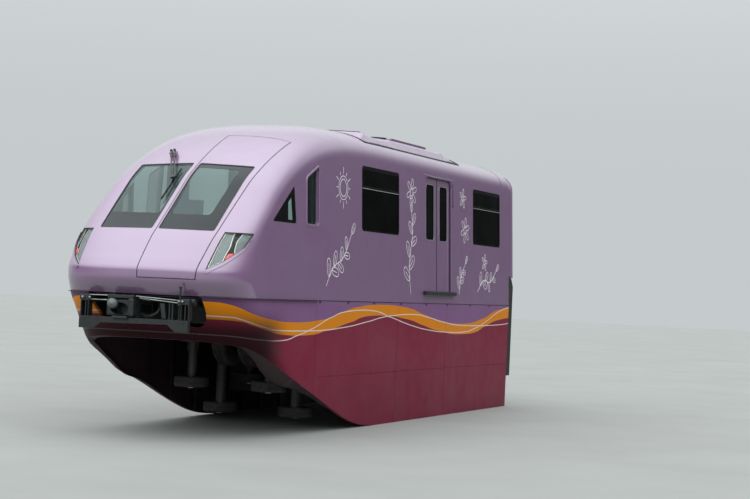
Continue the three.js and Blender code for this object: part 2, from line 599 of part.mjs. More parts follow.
// Cab bulkhead, driver's desk and seat
const BULKHEAD = { rear: -2640, thickness: 45, doorHalf: 330, doorTop: 3080 };
const bulkhead = upperSolid(SALOON_WALL + GAP)
  .intersect(box(-WIDE, WIDE, BULKHEAD.rear - BULKHEAD.thickness, BULKHEAD.rear, FLOOR_TOP_Z + GAP, 4000))
  .subtract(box(-BULKHEAD.doorHalf, BULKHEAD.doorHalf, -LONG, 0, 0, BULKHEAD.doorTop));
add("cab_bulkhead", bulkhead, FINISH.lining);
const deskOutline = [
  [-5150, FLOOR_TOP_Z + GAP], [-4500, FLOOR_TOP_Z + GAP], [-4500, 1500], [-4330, 1860], [-4380, 1900], [-4900, 1780],
];
add("driver_desk", prismAlongX(deskOutline, -1050, -60).intersect(upperSolid(HATCH_WALL + 60)), FINISH.slate);
add("driver_seat", joined([
  cylinderZ(-520, -3720, FLOOR_TOP_Z + GAP, 1620, 60, 12),
  box(-760, -280, -3960, -3480, 1600, 1720),
  box(-740, -300, -3540, -3440, 1719, 2320),
]), FINISH.seat);

// Benches along the walls, as places along the car
const BENCHES = [{ place: "front", from: -2560, to: 540 }, { place: "rear", from: 3420, to: 5640 }];
const BENCH = { depth: 430, legDepth: 300, seatBottom: 1560, seatTop: 1640, backTop: 2020 };
for (const { name, sign } of SIDES) {
  for (const { place, from, to } of BENCHES) {
    const wall = SALOON_WALL + GAP;
    add(`bench_${name}_${place}`, joined([
      sideSlab(sign, from, to, BENCH.seatBottom, BENCH.seatTop, wall, wall + BENCH.depth),
      sideSlab(sign, from, to, FLOOR_TOP_Z + GAP, BENCH.seatBottom + 1, wall, wall + BENCH.legDepth),
      sideSlab(sign, from, to, BENCH.seatTop - 1, BENCH.backTop, wall, wall + 70),
    ]), FINISH.seat);
  }
}

// Handrails under the ceiling, joined by cross bars and hung from the roof
const RAIL = { x: 740, z: 3020, barZ: 3260, radius: 17, hangers: [-2200, 400, 3000, 5400] };
const rails = SIDES.map(({ sign }) => {
  const geometry = new THREE.CylinderGeometry(RAIL.radius, RAIL.radius, 7760, 8);
  geometry.translate(sign * RAIL.x, 1600, RAIL.z);
  return solidOf(geometry);
});
const hangerRods = RAIL.hangers.flatMap((y) =>
  SIDES.map(({ sign }) => cylinderZ(sign * RAIL.x, y, RAIL.z, 3600, 12, 8)));
const crossBars = [-2200, 5400].map((y) => cylinderX(-RAIL.x, RAIL.x, y, RAIL.barZ, 12, 8));
add("handrails", joined([...rails, ...hangerRods, ...crossBars]).intersect(upperSolid(SALOON_WALL + GAP)), FINISH.alloy);

// Wheel that turns on an upright pin
const pinBore = (PIN_RADIUS + PIN_PLAY) / Math.cos(Math.PI / 16);
const guideProfile = [
  [pinBore, -60], [140, -GUIDE_WHEEL.halfWidth], [235, -GUIDE_WHEEL.halfWidth], [GUIDE_WHEEL.radius, -50],
  [GUIDE_WHEEL.radius, 50], [235, GUIDE_WHEEL.halfWidth], [140, GUIDE_WHEEL.halfWidth], [pinBore, 60],
  [pinBore, -60],
];
const guideWheel = turned(guideProfile, 16);

// Load axle with its two tyred wheels
const { radius: tyreRadius, inner: tyreInner, outer: tyreOuter, axle: axleRadius, rim } = LOAD_WHEEL;
const AXLE_SIDES = 20;
const halfAxle = [
  [axleRadius + 40, tyreInner], [tyreRadius - 18, tyreInner], [tyreRadius, tyreInner + 30],
  [tyreRadius, tyreOuter - 30], [tyreRadius - 18, tyreOuter], [rim, tyreOuter], [axleRadius, tyreOuter - 50],
  [axleRadius, AXLE_END], [0, AXLE_END],
];
const axleProfile = [
  ...halfAxle.map(([radius, along]) => [radius, -along]).reverse(),
  ...halfAxle,
];
const loadAxle = turned(axleProfile, AXLE_SIDES).rotate([0, 90, 0]);
const axleBore = (axleRadius + PIN_PLAY) / Math.cos(Math.PI / AXLE_SIDES);

// Each bogie: frame, two load axles, four guide wheels and two stabiliser wheels
for (const [place, pivot] of Object.entries(BOGIE_PIVOTS)) {
  const sideBeams = SIDES.map(({ sign }) => box(
    ...[sign * SIDE_BEAM.inner, sign * SIDE_BEAM.outer].sort((a, b) => a - b),
    -SIDE_BEAM.half, SIDE_BEAM.half, SIDE_BEAM.bottom, SIDE_BEAM.top,
  ));
  const frame = [
    ...sideBeams,
    box(-SIDE_BEAM.inner - 1, SIDE_BEAM.inner + 1, -150, 150, 400, 700),
    cylinderZ(0, 0, 699, BOLSTER.bottom - GAP, 150, 12),
    ...SIDES.map(({ sign }) => cylinderZ(sign * 605, 0, SIDE_BEAM.top - 1, BOLSTER.bottom - 6, 165, 14)),
    ...[-1, 1].map((end) => box(
      -SIDE_BEAM.inner - 1, SIDE_BEAM.inner + 1, end * 1110 - 60, end * 1110 + 60, 430, 540,
    )),
  ];
  for (const { sign } of SIDES) {
    const x = sign * GUIDE_WHEEL.x;
    for (const end of [-1, 1]) {
      const y = end * GUIDE_WHEEL.offset;
      frame.push(cylinderZ(x, y, GUIDE_WHEEL.z + 72, SIDE_BEAM.bottom + 1, 70, 10));
      frame.push(cylinderZ(x, y, GUIDE_WHEEL.z - 66, GUIDE_WHEEL.z + 73, PIN_RADIUS, 16));
      frame.push(cylinderZ(x, y, GUIDE_WHEEL.z - 96, GUIDE_WHEEL.z - 65, 60, 10));
    }
    frame.push(cylinderZ(x, 0, STABILISER_Z + 72, SIDE_BEAM.bottom + 1, 80, 10));
    frame.push(cylinderZ(x, 0, STABILISER_Z - 66, STABILISER_Z + 73, PIN_RADIUS, 16));
    frame.push(cylinderZ(x, 0, STABILISER_Z - 96, STABILISER_Z - 65, 60, 10));
  }
  const bores = [-1, 1].map((end) =>
    cylinderX(-AXLE_END - 2, AXLE_END + 2, end * AXLE_OFFSET, LOAD_WHEEL.radius, axleBore, AXLE_SIDES));
  add(`${place}_bogie_frame`, joined(frame).subtract(joined(bores)).translate([0, pivot, 0]), FINISH.steel);
  for (const [number, end] of [[1, -1], [2, 1]]) {
    add(`${place}_axle_${number}`, loadAxle.translate([0, pivot + end * AXLE_OFFSET, LOAD_WHEEL.radius]), FINISH.rubber);
  }
  for (const { name, sign } of SIDES) {
    for (const [number, end] of [[1, -1], [2, 1]]) {
      const at = [sign * GUIDE_WHEEL.x, pivot + end * GUIDE_WHEEL.offset, GUIDE_WHEEL.z];
      add(`${place}_guide_wheel_${name}_${number}`, guideWheel.translate(at), FINISH.rubber);
    }
    const at = [sign * GUIDE_WHEEL.x, pivot, STABILISER_Z];
    add(`${place}_stabiliser_wheel_${name}`, guideWheel.translate(at), FINISH.rubber);
  }
}

export default car;
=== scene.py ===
"""Leading car of a straddle-beam monorail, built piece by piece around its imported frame.

Frame: metres, +Z up, nose towards -Y, the car's left side towards +X.
The origin lies on top of the running beam, in the middle of the car.
"""

import json
import logging
import math
from collections.abc import Callable, Iterator, Sequence
from contextlib import contextmanager
from dataclasses import dataclass
from enum import Enum

import bpy
import numpy as np
from mathutils import Matrix, Vector
from mathutils.bvhtree import BVHTree
from mathutils.interpolate import poly_3d_calc

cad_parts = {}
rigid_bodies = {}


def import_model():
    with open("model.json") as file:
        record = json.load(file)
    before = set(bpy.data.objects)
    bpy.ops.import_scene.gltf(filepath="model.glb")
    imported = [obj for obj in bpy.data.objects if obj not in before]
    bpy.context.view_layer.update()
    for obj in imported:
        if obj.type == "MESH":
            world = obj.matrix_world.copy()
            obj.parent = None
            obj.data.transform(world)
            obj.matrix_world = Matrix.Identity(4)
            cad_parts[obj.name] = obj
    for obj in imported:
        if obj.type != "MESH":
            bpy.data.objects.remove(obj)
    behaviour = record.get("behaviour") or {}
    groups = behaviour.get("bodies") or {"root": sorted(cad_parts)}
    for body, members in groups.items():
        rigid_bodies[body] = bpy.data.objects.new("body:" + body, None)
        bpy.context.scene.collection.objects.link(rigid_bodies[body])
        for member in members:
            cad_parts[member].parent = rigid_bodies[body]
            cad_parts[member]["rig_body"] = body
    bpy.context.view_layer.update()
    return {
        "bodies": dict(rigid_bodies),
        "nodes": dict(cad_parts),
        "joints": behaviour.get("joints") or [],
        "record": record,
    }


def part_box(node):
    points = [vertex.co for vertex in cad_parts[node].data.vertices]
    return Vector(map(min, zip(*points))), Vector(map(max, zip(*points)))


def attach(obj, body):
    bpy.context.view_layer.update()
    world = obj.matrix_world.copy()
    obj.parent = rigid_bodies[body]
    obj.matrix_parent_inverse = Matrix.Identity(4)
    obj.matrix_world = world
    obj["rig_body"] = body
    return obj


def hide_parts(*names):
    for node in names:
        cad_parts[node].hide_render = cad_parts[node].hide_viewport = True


log = logging.getLogger("monorail_car")

Point = Sequence[float]
Outline = Sequence[Sequence[float]]
Corners = list[tuple[float, float]]
Piece = bpy.types.Object
Face = bpy.types.MeshPolygon
Material = bpy.types.Material
Socket = bpy.types.NodeSocket
SIDES = (("left", 1), ("right", -1))
PLACES = ("front", "rear")
ORIGIN = (0.0, 0.0, 0.0)
UP = (0.0, 0.0, 1.0)
FAR_ACROSS = 2.0


class Cut(Enum):
    """What is left of a piece that a tool cuts."""

    OUTSIDE = "DIFFERENCE"
    INSIDE = "INTERSECT"


# Modelling helpers


def select_only(piece: Piece) -> None:
    """Select one object alone and make it the active one."""
    bpy.ops.object.select_all(action="DESELECT")
    piece.select_set(True)
    bpy.context.view_layer.objects.active = piece


def select_faces(piece: Piece, wanted: Callable[[Face], bool]) -> None:
    """Mark the faces that pass a test as selected, and nothing else.

    Args:
        piece: mesh object in object mode.
        wanted: test on one face.
    """
    mesh = piece.data
    mesh.vertices.foreach_set("select", [False] * len(mesh.vertices))
    mesh.edges.foreach_set("select", [False] * len(mesh.edges))
    mesh.polygons.foreach_set("select", [wanted(face) for face in mesh.polygons])


@contextmanager
def editing(piece: Piece, wanted: Callable[[Face], bool] | None = None) -> Iterator[None]:
    """Hold an object in edit mode, with all of its faces selected or those that pass a test.

    Args:
        piece: mesh object.
        wanted: test on one face; all faces are selected without it.
    """
    select_only(piece)
    if wanted is not None:
        select_faces(piece, wanted)
    bpy.ops.object.mode_set(mode="EDIT")
    bpy.ops.mesh.select_mode(type="FACE")
    if wanted is None:
        bpy.ops.mesh.select_all(action="SELECT")
    yield
    bpy.ops.object.mode_set(mode="OBJECT")


def settle(piece: Piece, name: str) -> Piece:
    """Name a new object and move its place, turn and size into its mesh."""
    piece.name = name
    select_only(piece)
    bpy.ops.object.transform_apply(location=True, rotation=True, scale=True)
    return piece


def apply_modifier(piece: Piece, kind: str, **settings: object) -> None:
    """Add a modifier with the given settings and apply it."""
    modifier = piece.modifiers.new(kind.title(), kind)
    for key, value in settings.items():
        setattr(modifier, key, value)
    select_only(piece)
    bpy.ops.object.modifier_apply(modifier=modifier.name)


def bevel_edges(piece: Piece, width: float, segments: int = 2, angle: float = 40.0) -> Piece:
    """Round the edges that are sharper than an angle in degrees."""
    apply_modifier(
        piece, "BEVEL", width=width, segments=segments, limit_method="ANGLE",
        angle_limit=math.radians(angle), use_clamp_overlap=True,
    )
    return piece


def block(name: str, low: Point, high: Point, bevel: float = 0.0, segments: int = 2) -> Piece:
    """Box between two corners with rounded edges.

    Args:
        name: the object's name.
        low: lowest corner.
        high: highest corner.
        bevel: width of the rounding, none at 0.
        segments: steps of the rounding.

    Returns:
        The new object.
    """
    middle = [(a + b) / 2 for a, b in zip(low, high)]
    bpy.ops.mesh.primitive_cube_add(size=1, location=middle)
    piece = bpy.context.active_object
    piece.scale = [b - a for a, b in zip(low, high)]
    settle(piece, name)
    return bevel_edges(piece, bevel, segments) if bevel else piece


def rod(name: str, start: Point, end: Point, radius: float, sides: int = 20, bevel: float = 0.0) -> Piece:
    """Round bar between two points.

    Args:
        name: the object's name.
        start: middle of one end.
        end: middle of the other end.
        radius: the bar's radius.
        sides: number of faces around it.
        bevel: rounding of the end edges, none at 0.

    Returns:
        The new object.
    """
    along = Vector(end) - Vector(start)
    bpy.ops.mesh.primitive_cylinder_add(
        vertices=sides, radius=radius, depth=along.length, location=(Vector(start) + Vector(end)) / 2,
        rotation=along.to_track_quat("Z", "Y").to_euler(),
    )
    piece = settle(bpy.context.active_object, name)
    return bevel_edges(piece, bevel, 2, 50) if bevel else piece


def rounded(outline: Outline, radius: float, steps: int = 5) -> Corners:
    """Outline with an arc at each corner.

    Args:
        outline: corners in order, as pairs.
        radius: distance from each corner at which its arc starts.
        steps: number of stretches in each arc.

    Returns:
        The points of the rounded outline, in the same order.
    """
    corners = [Vector(corner) for corner in outline]
    points = []
    for i, corner in enumerate(corners):
        before = corners[i - 1] - corner
        after = corners[(i + 1) % len(corners)] - corner
        reach = min(radius, 0.45 * before.length, 0.45 * after.length)
        start = corner + before.normalized() * reach
        end = corner + after.normalized() * reach
        for step in range(steps + 1):
            t = step / steps
            point = start * (1 - t) ** 2 + corner * (2 * t * (1 - t)) + end * t ** 2
            points.append((point.x, point.y))
    return points


def shrunk(outline: Outline, distance: float) -> Corners:
    """Outline pulled in towards its inside by a distance, or let out where it is negative."""
    corners = [Vector(corner) for corner in outline]
    area = sum(a.x * b.y - b.x * a.y for a, b in zip(corners, corners[1:] + corners[:1]))
    turn = 1 if area > 0 else -1
    moved = []
    for i, corner in enumerate(corners):
        before = (corner - corners[i - 1]).normalized()
        after = (corners[(i + 1) % len(corners)] - corner).normalized()
        inward = (before.orthogonal() + after.orthogonal()).normalized() * turn
        cosine = max(0.3, inward.dot(before.orthogonal() * turn))
        moved.append(tuple(corner + inward * distance / cosine))
    return moved


def extruded(piece: Piece, travel: Point) -> Piece:
    """Extrude an open sheet along a travel into a closed solid whose faces point outwards."""
    with editing(piece):
        bpy.ops.mesh.extrude_region_move(TRANSFORM_OT_translate={"value": tuple(travel)})
        bpy.ops.mesh.select_all(action="SELECT")
        bpy.ops.mesh.normals_make_consistent(inside=False)
    return piece


def prism(name: str, corners: Sequence[Point], travel: Point) -> Piece:
    """Closed prism: a flat outline in space, extruded along a travel.

    Args:
        name: the object's name.
        corners: points of the outline in space.
        travel: how far and which way it is extruded.

    Returns:
        The new object.
    """
    bpy.ops.mesh.primitive_circle_add(vertices=len(corners), radius=1, fill_type="NGON")
    piece = settle(bpy.context.active_object, name)
    piece.data.vertices.foreach_set("co", np.array(corners, float).ravel())
    return extruded(piece, travel)


def prism_along_y(name: str, outline: Outline, start: float, end: float) -> Piece:
    """Prism whose outline is given in x and z, running from one y to another."""
    return prism(name, [(x, start, z) for x, z in outline], (0, end - start, 0))


def prism_along_x(name: str, outline: Outline, start: float, end: float) -> Piece:
    """Prism whose outline is given in y and z, running from one x to another."""
    return prism(name, [(start, y, z) for y, z in outline], (end - start, 0, 0))


def lathed(name: str, profile: Outline, origin: Point = ORIGIN, axis: Point = UP, steps: int = 48) -> Piece:
    """Round piece spun from a closed profile.

    Args:
        name: the object's name.
        profile: closed outline, as pairs of radius and distance along the axis.
        origin: the point on the axis from which the profile's distances count.
        axis: direction of the axis.
        steps: number of faces around it.

    Returns:
        The new object.
    """
    bpy.ops.mesh.primitive_circle_add(vertices=len(profile), radius=1, fill_type="NOTHING")
    piece = settle(bpy.context.active_object, name)
    turn = Vector(axis).to_track_quat("Z", "Y").to_matrix()
    points = [Vector(origin) + turn @ Vector((radius, 0, along)) for radius, along in profile]
    piece.data.vertices.foreach_set("co", np.array(points, float).ravel())
    with editing(piece):
        bpy.ops.mesh.select_mode(type="VERT")
        bpy.ops.mesh.select_all(action="SELECT")
        bpy.ops.mesh.spin(steps=steps, angle=math.tau, center=tuple(origin), axis=tuple(turn @ Vector(UP)))
        bpy.ops.mesh.select_all(action="SELECT")
        bpy.ops.mesh.remove_doubles(threshold=1e-5)
        bpy.ops.mesh.normals_make_consistent(inside=False)
    return piece


def pipe(name: str, points: Sequence[Point], radius: float, sides: int = 4, closed: bool = False) -> Piece:
    """Round bar bent along a line of points.

    Args:
        name: the object's name.
        points: the points that it passes through.
        radius: the bar's radius.
        sides: resolution of its round section.
        closed: whether the line returns to its start.

    Returns:
        The new mesh object.
    """
    bpy.ops.curve.primitive_bezier_curve_add()
    piece = bpy.context.active_object
    piece.matrix_world = Matrix.Identity(4)
    curve = piece.data
    curve.splines.remove(curve.splines[0])
    spline = curve.splines.new("BEZIER")
    spline.bezier_points.add(len(points) - 1)
    for knot, point in zip(spline.bezier_points, points):
        knot.co = point
        knot.handle_left_type = knot.handle_right_type = "AUTO"
    spline.use_cyclic_u = closed
    curve.bevel_depth = radius
    curve.bevel_resolution = sides
    curve.resolution_u = 6
    curve.use_fill_caps = True
    select_only(piece)
    bpy.ops.object.convert(target="MESH")
    return settle(bpy.context.active_object, name)


def joined(name: str, pieces: Sequence[Piece]) -> Piece:
    """One object that holds the meshes of several."""
    bpy.ops.object.select_all(action="DESELECT")
    for piece in pieces:
        piece.select_set(True)
    bpy.context.view_layer.objects.active = pieces[0]
    if len(pieces) > 1:
        bpy.ops.object.join()
    pieces[0].name = name
    return pieces[0]


def carved(piece: Piece, *tools: Piece, left: Cut = Cut.OUTSIDE) -> Piece:
    """Cut a piece by tools that don't touch each other, and remove the tools.

    Args:
        piece: closed mesh object.
        tools: closed mesh objects.
        left: whether what lies outside the tools is left, or what lies inside them.

    Returns:
        The same piece.
    """
    tool = joined("tool", tools)
    apply_modifier(piece, "BOOLEAN", operation=left.value, object=tool, solver="EXACT")
    bpy.data.objects.remove(tool)
    return piece


def kept_between(piece: Piece, low: Outline, high: Outline) -> Piece:
    """Cut away what lies outside a range along the car and a range of heights.

    Args:
        piece: closed mesh object.
        low: place along the car and height at which the range starts.
        high: place along the car and height at which it ends.

    Returns:
        The same piece.
    """
    return carved(piece, block("keep", (-FAR_ACROSS, *low), (FAR_ACROSS, *high)), left=Cut.INSIDE)


def copied(piece: Piece, name: str, matrix: Matrix) -> Piece:
    """Copy of a piece with a mesh of its own, moved by a matrix; a mirrored one is turned right side out."""
    twin = piece.copy()
    twin.data = piece.data.copy()
    twin.name = name
    bpy.context.scene.collection.objects.link(twin)
    twin.data.transform(matrix)
    if matrix.determinant() < 0:
        twin.data.flip_normals()
    return twin


def moved(vector: Point) -> Matrix:
    """Matrix of a move."""
    return Matrix.Translation(Vector(vector))


MIRROR_X = Matrix.Scale(-1, 4, (1, 0, 0))


def smooth(piece: Piece, angle: float = 35.0) -> None:
    """Shade a piece smooth, apart from edges sharper than an angle in degrees."""
    select_only(piece)
    bpy.ops.object.shade_smooth_by_angle(angle=math.radians(angle))


def paint_all(piece: Piece, material: Material) -> Piece:
    """Give a whole piece one material."""
    piece.data.materials.clear()
    piece.data.materials.append(material)
    return piece


def paint_inside(piece: Piece, material: Material, middle_y: float | None = None) -> None:
    """Give the faces that look towards the car's middle a material of their own.

    Args:
        piece: a wall, or a shell that bends round the car's middle.
        material: the material of its inside.
        middle_y: place of that middle along the car; left out, only the direction across the car counts.
    """
    piece.data.materials.append(material)
    for face in piece.data.polygons:
        away = Vector((face.center.x, 0 if middle_y is None else face.center.y - middle_y, 0)).normalized()
        if face.normal.dot(away) < -0.3:
            face.material_index = len(piece.data.materials) - 1


def on_side(piece: Piece, sign: int) -> Piece:
    """Carry a piece made for the left side over to the right side, where the sign is negative."""
    if sign < 0:
        piece.data.transform(MIRROR_X)
        piece.data.flip_normals()
    return piece


def smooth_line(points: Outline, steps: int) -> Corners:
    """Curve through points, each gap in a number of steps."""
    knots = [Vector(point) for point in points]
    knots = [2 * knots[0] - knots[1], *knots, 2 * knots[-1] - knots[-2]]
    line = []
    for a, b, c, d in zip(knots, knots[1:], knots[2:], knots[3:]):
        for step in range(steps):
            t = step / steps
            spot = b + 0.5 * t * ((c - a) + t * ((2 * a - 5 * b + 4 * c - d) + t * (3 * b - 3 * c + d - a)))
            line.append((spot.x, spot.y))
    line.append(tuple(knots[-2]))
    return line


# Finishes


class Recipe:
    """Node tree of one finish, with short calls for the nodes that the finishes share."""

    def __init__(self, name: str, surround: bool = False) -> None:
        """Start a material, or the world round the scene, with its shader alone."""
        self.material = bpy.data.worlds.new(name) if surround else bpy.data.materials.new(name)
        self.material.use_nodes = True
        self.nodes = self.material.node_tree.nodes
        self.links = self.material.node_tree.links
        self.shader = self.nodes["Background" if surround else "Principled BSDF"]
        self.place = self.nodes.new("ShaderNodeTexCoord").outputs["Generated" if surround else "Object"]

    def set(self, **values: object) -> None:
        """Set the shader's own sockets; a name's underscores stand for spaces."""
        for key, value in values.items():
            self.shader.inputs[key.replace("_", " ")].default_value = value

    def feed(self, socket: str, source: Socket) -> None:
        """Link a socket of the shader to a source."""
        self.links.new(source, self.shader.inputs[socket])

    def put(self, target: Socket, value: object) -> None:
        """Link a source to a socket, or set the socket to a plain value."""
        if isinstance(value, Socket):
            self.links.new(value, target)
        elif value is not None:
            target.default_value = value

    def math(self, operation: str, *values: object, clamp: bool = False) -> Socket:
        """Math node on up to three values."""
        node = self.nodes.new("ShaderNodeMath")
        node.operation = operation
        node.use_clamp = clamp
        for socket, value in zip(node.inputs, values):
            self.put(socket, value)
        return node.outputs[0]

    def axes(self) -> tuple[Socket, Socket, Socket]:
        """Places along x, y and z."""
        node = self.nodes.new("ShaderNodeSeparateXYZ")
        self.links.new(self.place, node.inputs[0])
        return node.outputs[0], node.outputs[1], node.outputs[2]

    def stretched(self, scale: Point) -> Socket:
        """Places with each axis scaled, for grain that runs one way."""
        node = self.nodes.new("ShaderNodeMapping")
        self.links.new(self.place, node.inputs["Vector"])
        node.inputs["Scale"].default_value = scale
        return node.outputs[0]

    def noise(self, scale: float, detail: float = 3.0, place: Socket | None = None) -> Socket:
        """Cloudy noise from 0 to 1."""
        node = self.nodes.new("ShaderNodeTexNoise")
        self.links.new(place or self.place, node.inputs["Vector"])
        node.inputs["Scale"].default_value = scale
        node.inputs["Detail"].default_value = detail
        return node.outputs["Fac"]

    def between(
        self, value: object, low: float, high: float, to_low: float, to_high: float, eased: bool = False,
    ) -> Socket:
        """Value carried from one range to another and held at its ends, which an eased one nears gently."""
        node = self.nodes.new("ShaderNodeMapRange")
        node.interpolation_type = "SMOOTHSTEP" if eased else "LINEAR"
        self.put(node.inputs[0], value)
        for socket, number in zip(node.inputs[1:5], (low, high, to_low, to_high)):
            socket.default_value = number
        return node.outputs[0]

    def blend(self, share: object, first: object, second: object) -> Socket:
        """Colour between two colours."""
        node = self.nodes.new("ShaderNodeMix")
        node.data_type = "RGBA"
        self.put(node.inputs["Factor"], share)
        self.put(node.inputs[6], first)
        self.put(node.inputs[7], second)
        return node.outputs[2]

    def bump(self, height: Socket, depth: float, strength: float = 1.0) -> None:
        """Bump of the surface from a height between 0 and 1, as deep as given in metres."""
        node = self.nodes.new("ShaderNodeBump")
        node.inputs["Strength"].default_value = strength
        node.inputs["Distance"].default_value = depth
        self.links.new(height, node.inputs["Height"])
        self.feed("Normal", node.outputs[0])

    def wave(self, along: Socket, knots: Outline) -> Socket:
        """Smooth line through knots, as its height over the place along the car.

        Args:
            along: place along the car.
            knots: pairs of place and height in metres, in order.

        Returns:
            The height at that place.
        """
        starts, heights = zip(*knots)
        low, high = min(heights), max(heights)
        share = self.between(along, starts[0], starts[-1], 0, 1)
        node = self.nodes.new("ShaderNodeFloatCurve")
        curve = node.mapping.curves[0]
        while len(curve.points) < len(knots):
            curve.points.new(0.5, 0.5)
        for knot, (start, height) in zip(curve.points, knots):
            knot.location = ((start - starts[0]) / (starts[-1] - starts[0]), (height - low) / (high - low))
        node.mapping.update()
        self.links.new(share, node.inputs["Value"])
        return self.between(node.outputs[0], 0, 1, low, high)


Colour = tuple[float, float, float, float]


def colour(red: int, green: int, blue: int) -> Colour:
    """Linear colour from display values between 0 and 255."""
    linear = [((c / 255 + 0.055) / 1.055) ** 2.4 if c > 10 else c / 255 / 12.92 for c in (red, green, blue)]
    return (*linear, 1.0)


@dataclass(frozen=True)
class BodyPaint:
    """Body paint: purple above a wavy orange band, maroon below it, two thin white wave lines, and painted
    shade low on the nose's front and on the chin.

    Attributes:
        name: the material's name.
        coat: weight of the clear coat.
        coat_index: refractive index of the clear coat.
        gloss: strength of the paint's own reflections.
        roughness: lowest and highest roughness.
        purple, orange, maroon, line: the livery's colours.
        nose_shade: painted shade, a darker purple low on the nose's front where the form turns under.
        faded: colour of the faded patches.
        dust: colour of the road dust low on the skirts.
        shadow: colour of the painted shade on the chin.
        line_half_width: half width of a white line.
        edge: width over which one colour runs into the next.
        band_top, band_foot: edges of the orange band, as place along the car and height.
        first_line, second_line: the white lines, in the same way.
    """

    name: str = "body_paint"
    coat: float = 1.0
    coat_index: float = 1.75
    gloss: float = 0.9
    roughness: tuple[float, float] = (0.34, 0.42)
    purple: Colour = colour(119, 83, 123)
    orange: Colour = colour(204, 122, 0)
    maroon: Colour = colour(116, 26, 52)
    line: Colour = colour(206, 192, 188)
    nose_shade: Colour = colour(50, 30, 52)
    faded: Colour = colour(150, 138, 150)
    dust: Colour = colour(46, 26, 32)
    shadow: Colour = colour(18, 9, 11)
    line_half_width: float = 0.006
    edge: float = 0.002
    band_top: Outline = (
        (-5.9, 0.94), (-5.6, 0.938), (-5.42, 0.912), (-5.26, 0.868), (-5.01, 0.795), (-4.55, 0.733),
        (-3.75, 0.694), (-3.1, 0.715), (-2.3, 0.81), (-1.5, 0.92), (-0.6, 0.957), (0.25, 0.935), (1.2, 0.828),
        (2.2, 0.71), (3.15, 0.665), (4.15, 0.73), (5.1, 0.895), (5.95, 0.978),
    )
    band_foot: Outline = (
        (-5.9, 0.718), (-5.4, 0.714), (-5.0, 0.65), (-4.58, 0.575), (-4.15, 0.53), (-3.55, 0.516),
        (-2.75, 0.572), (-1.75, 0.7), (-0.7, 0.795), (0.35, 0.752), (1.25, 0.645), (2.2, 0.537),
        (3.25, 0.487), (4.4, 0.605), (5.15, 0.72), (5.95, 0.773),
    )
    first_line: Outline = (
        (-5.9, 0.765), (-5.35, 0.752), (-5.2, 0.728), (-5.05, 0.69), (-4.72, 0.628), (-4.3, 0.588),
        (-3.7, 0.578), (-3.1, 0.578), (-2.2, 0.613), (-1.15, 0.702), (-0.05, 0.797), (0.7, 0.815),
        (1.4, 0.778), (2.3, 0.69), (3.35, 0.634), (4.6, 0.63), (5.95, 0.703),
    )
    second_line: Outline = (
        (-5.9, 0.522), (-5.35, 0.515), (-4.8, 0.467), (-4.3, 0.452), (-3.75, 0.51), (-3.15, 0.618),
        (-2.5, 0.77), (-1.9, 0.853), (-1.2, 0.872), (-0.3, 0.782), (0.7, 0.645), (1.5, 0.568), (2.35, 0.527),
        (3.25, 0.521), (3.9, 0.582), (4.6, 0.719), (5.3, 0.885), (5.95, 0.968),
    )

    def build(self) -> Material:
        """Make the material."""
        recipe = Recipe(self.name)
        _, along, height = recipe.axes()
        shade = recipe.blend(
            self.over(recipe, height, recipe.wave(along, self.band_foot)), self.maroon, self.orange,
        )
        # Painted shade: the purple darkens low on the nose's front, just above the seam.
        nose_shade = recipe.math(
            "MULTIPLY", recipe.between(along, -4.9, -5.6, 0, 0.6, True),
            recipe.between(height, 1.32, 1.08, 0, 1, True),
        )
        upper = recipe.blend(nose_shade, self.purple, self.nose_shade)
        shade = recipe.blend(self.over(recipe, height, recipe.wave(along, self.band_top)), shade, upper)
        for knots in (self.first_line, self.second_line):
            off = recipe.math("ABSOLUTE", recipe.math("SUBTRACT", height, recipe.wave(along, knots)))
            on_line = recipe.between(off, self.line_half_width, self.line_half_width + self.edge, 1, 0)
            shade = recipe.blend(on_line, shade, self.line)
        fade = recipe.between(recipe.noise(1.1, 3), 0.35, 0.75, 0.0, 0.05)
        shade = recipe.blend(fade, shade, self.faded)
        grime = recipe.math("MULTIPLY", recipe.between(height, 0.2, -0.9, 0, 0.5), recipe.noise(1.6, 4))
        shade = recipe.blend(grime, shade, self.dust)
        # Painted shade: the chin darkens towards the shadow colour, more the lower and further forward it
        # lies.
        under = recipe.math(
            "MULTIPLY", recipe.between(along, -3.9, -4.7, 0, 0.92, True),
            recipe.between(height, 0.95, 0.5, 0, 1, True),
        )
        shade = recipe.blend(under, shade, self.shadow)
        recipe.feed("Base Color", shade)
        recipe.feed("Roughness", recipe.between(recipe.noise(4, 2), 0.3, 0.7, *self.roughness))
        recipe.set(Coat_Weight=self.coat, Coat_IOR=self.coat_index, Coat_Roughness=0.1)
        recipe.set(Specular_IOR_Level=self.gloss)
        return recipe.material

    def over(
        self, recipe: Recipe, height: Socket, line: Socket,
    ) -> Socket:
        """Share that is 1 above a line and 0 below it."""
        return recipe.between(recipe.math("SUBTRACT", height, line), -self.edge / 2, self.edge / 2, 0, 1)


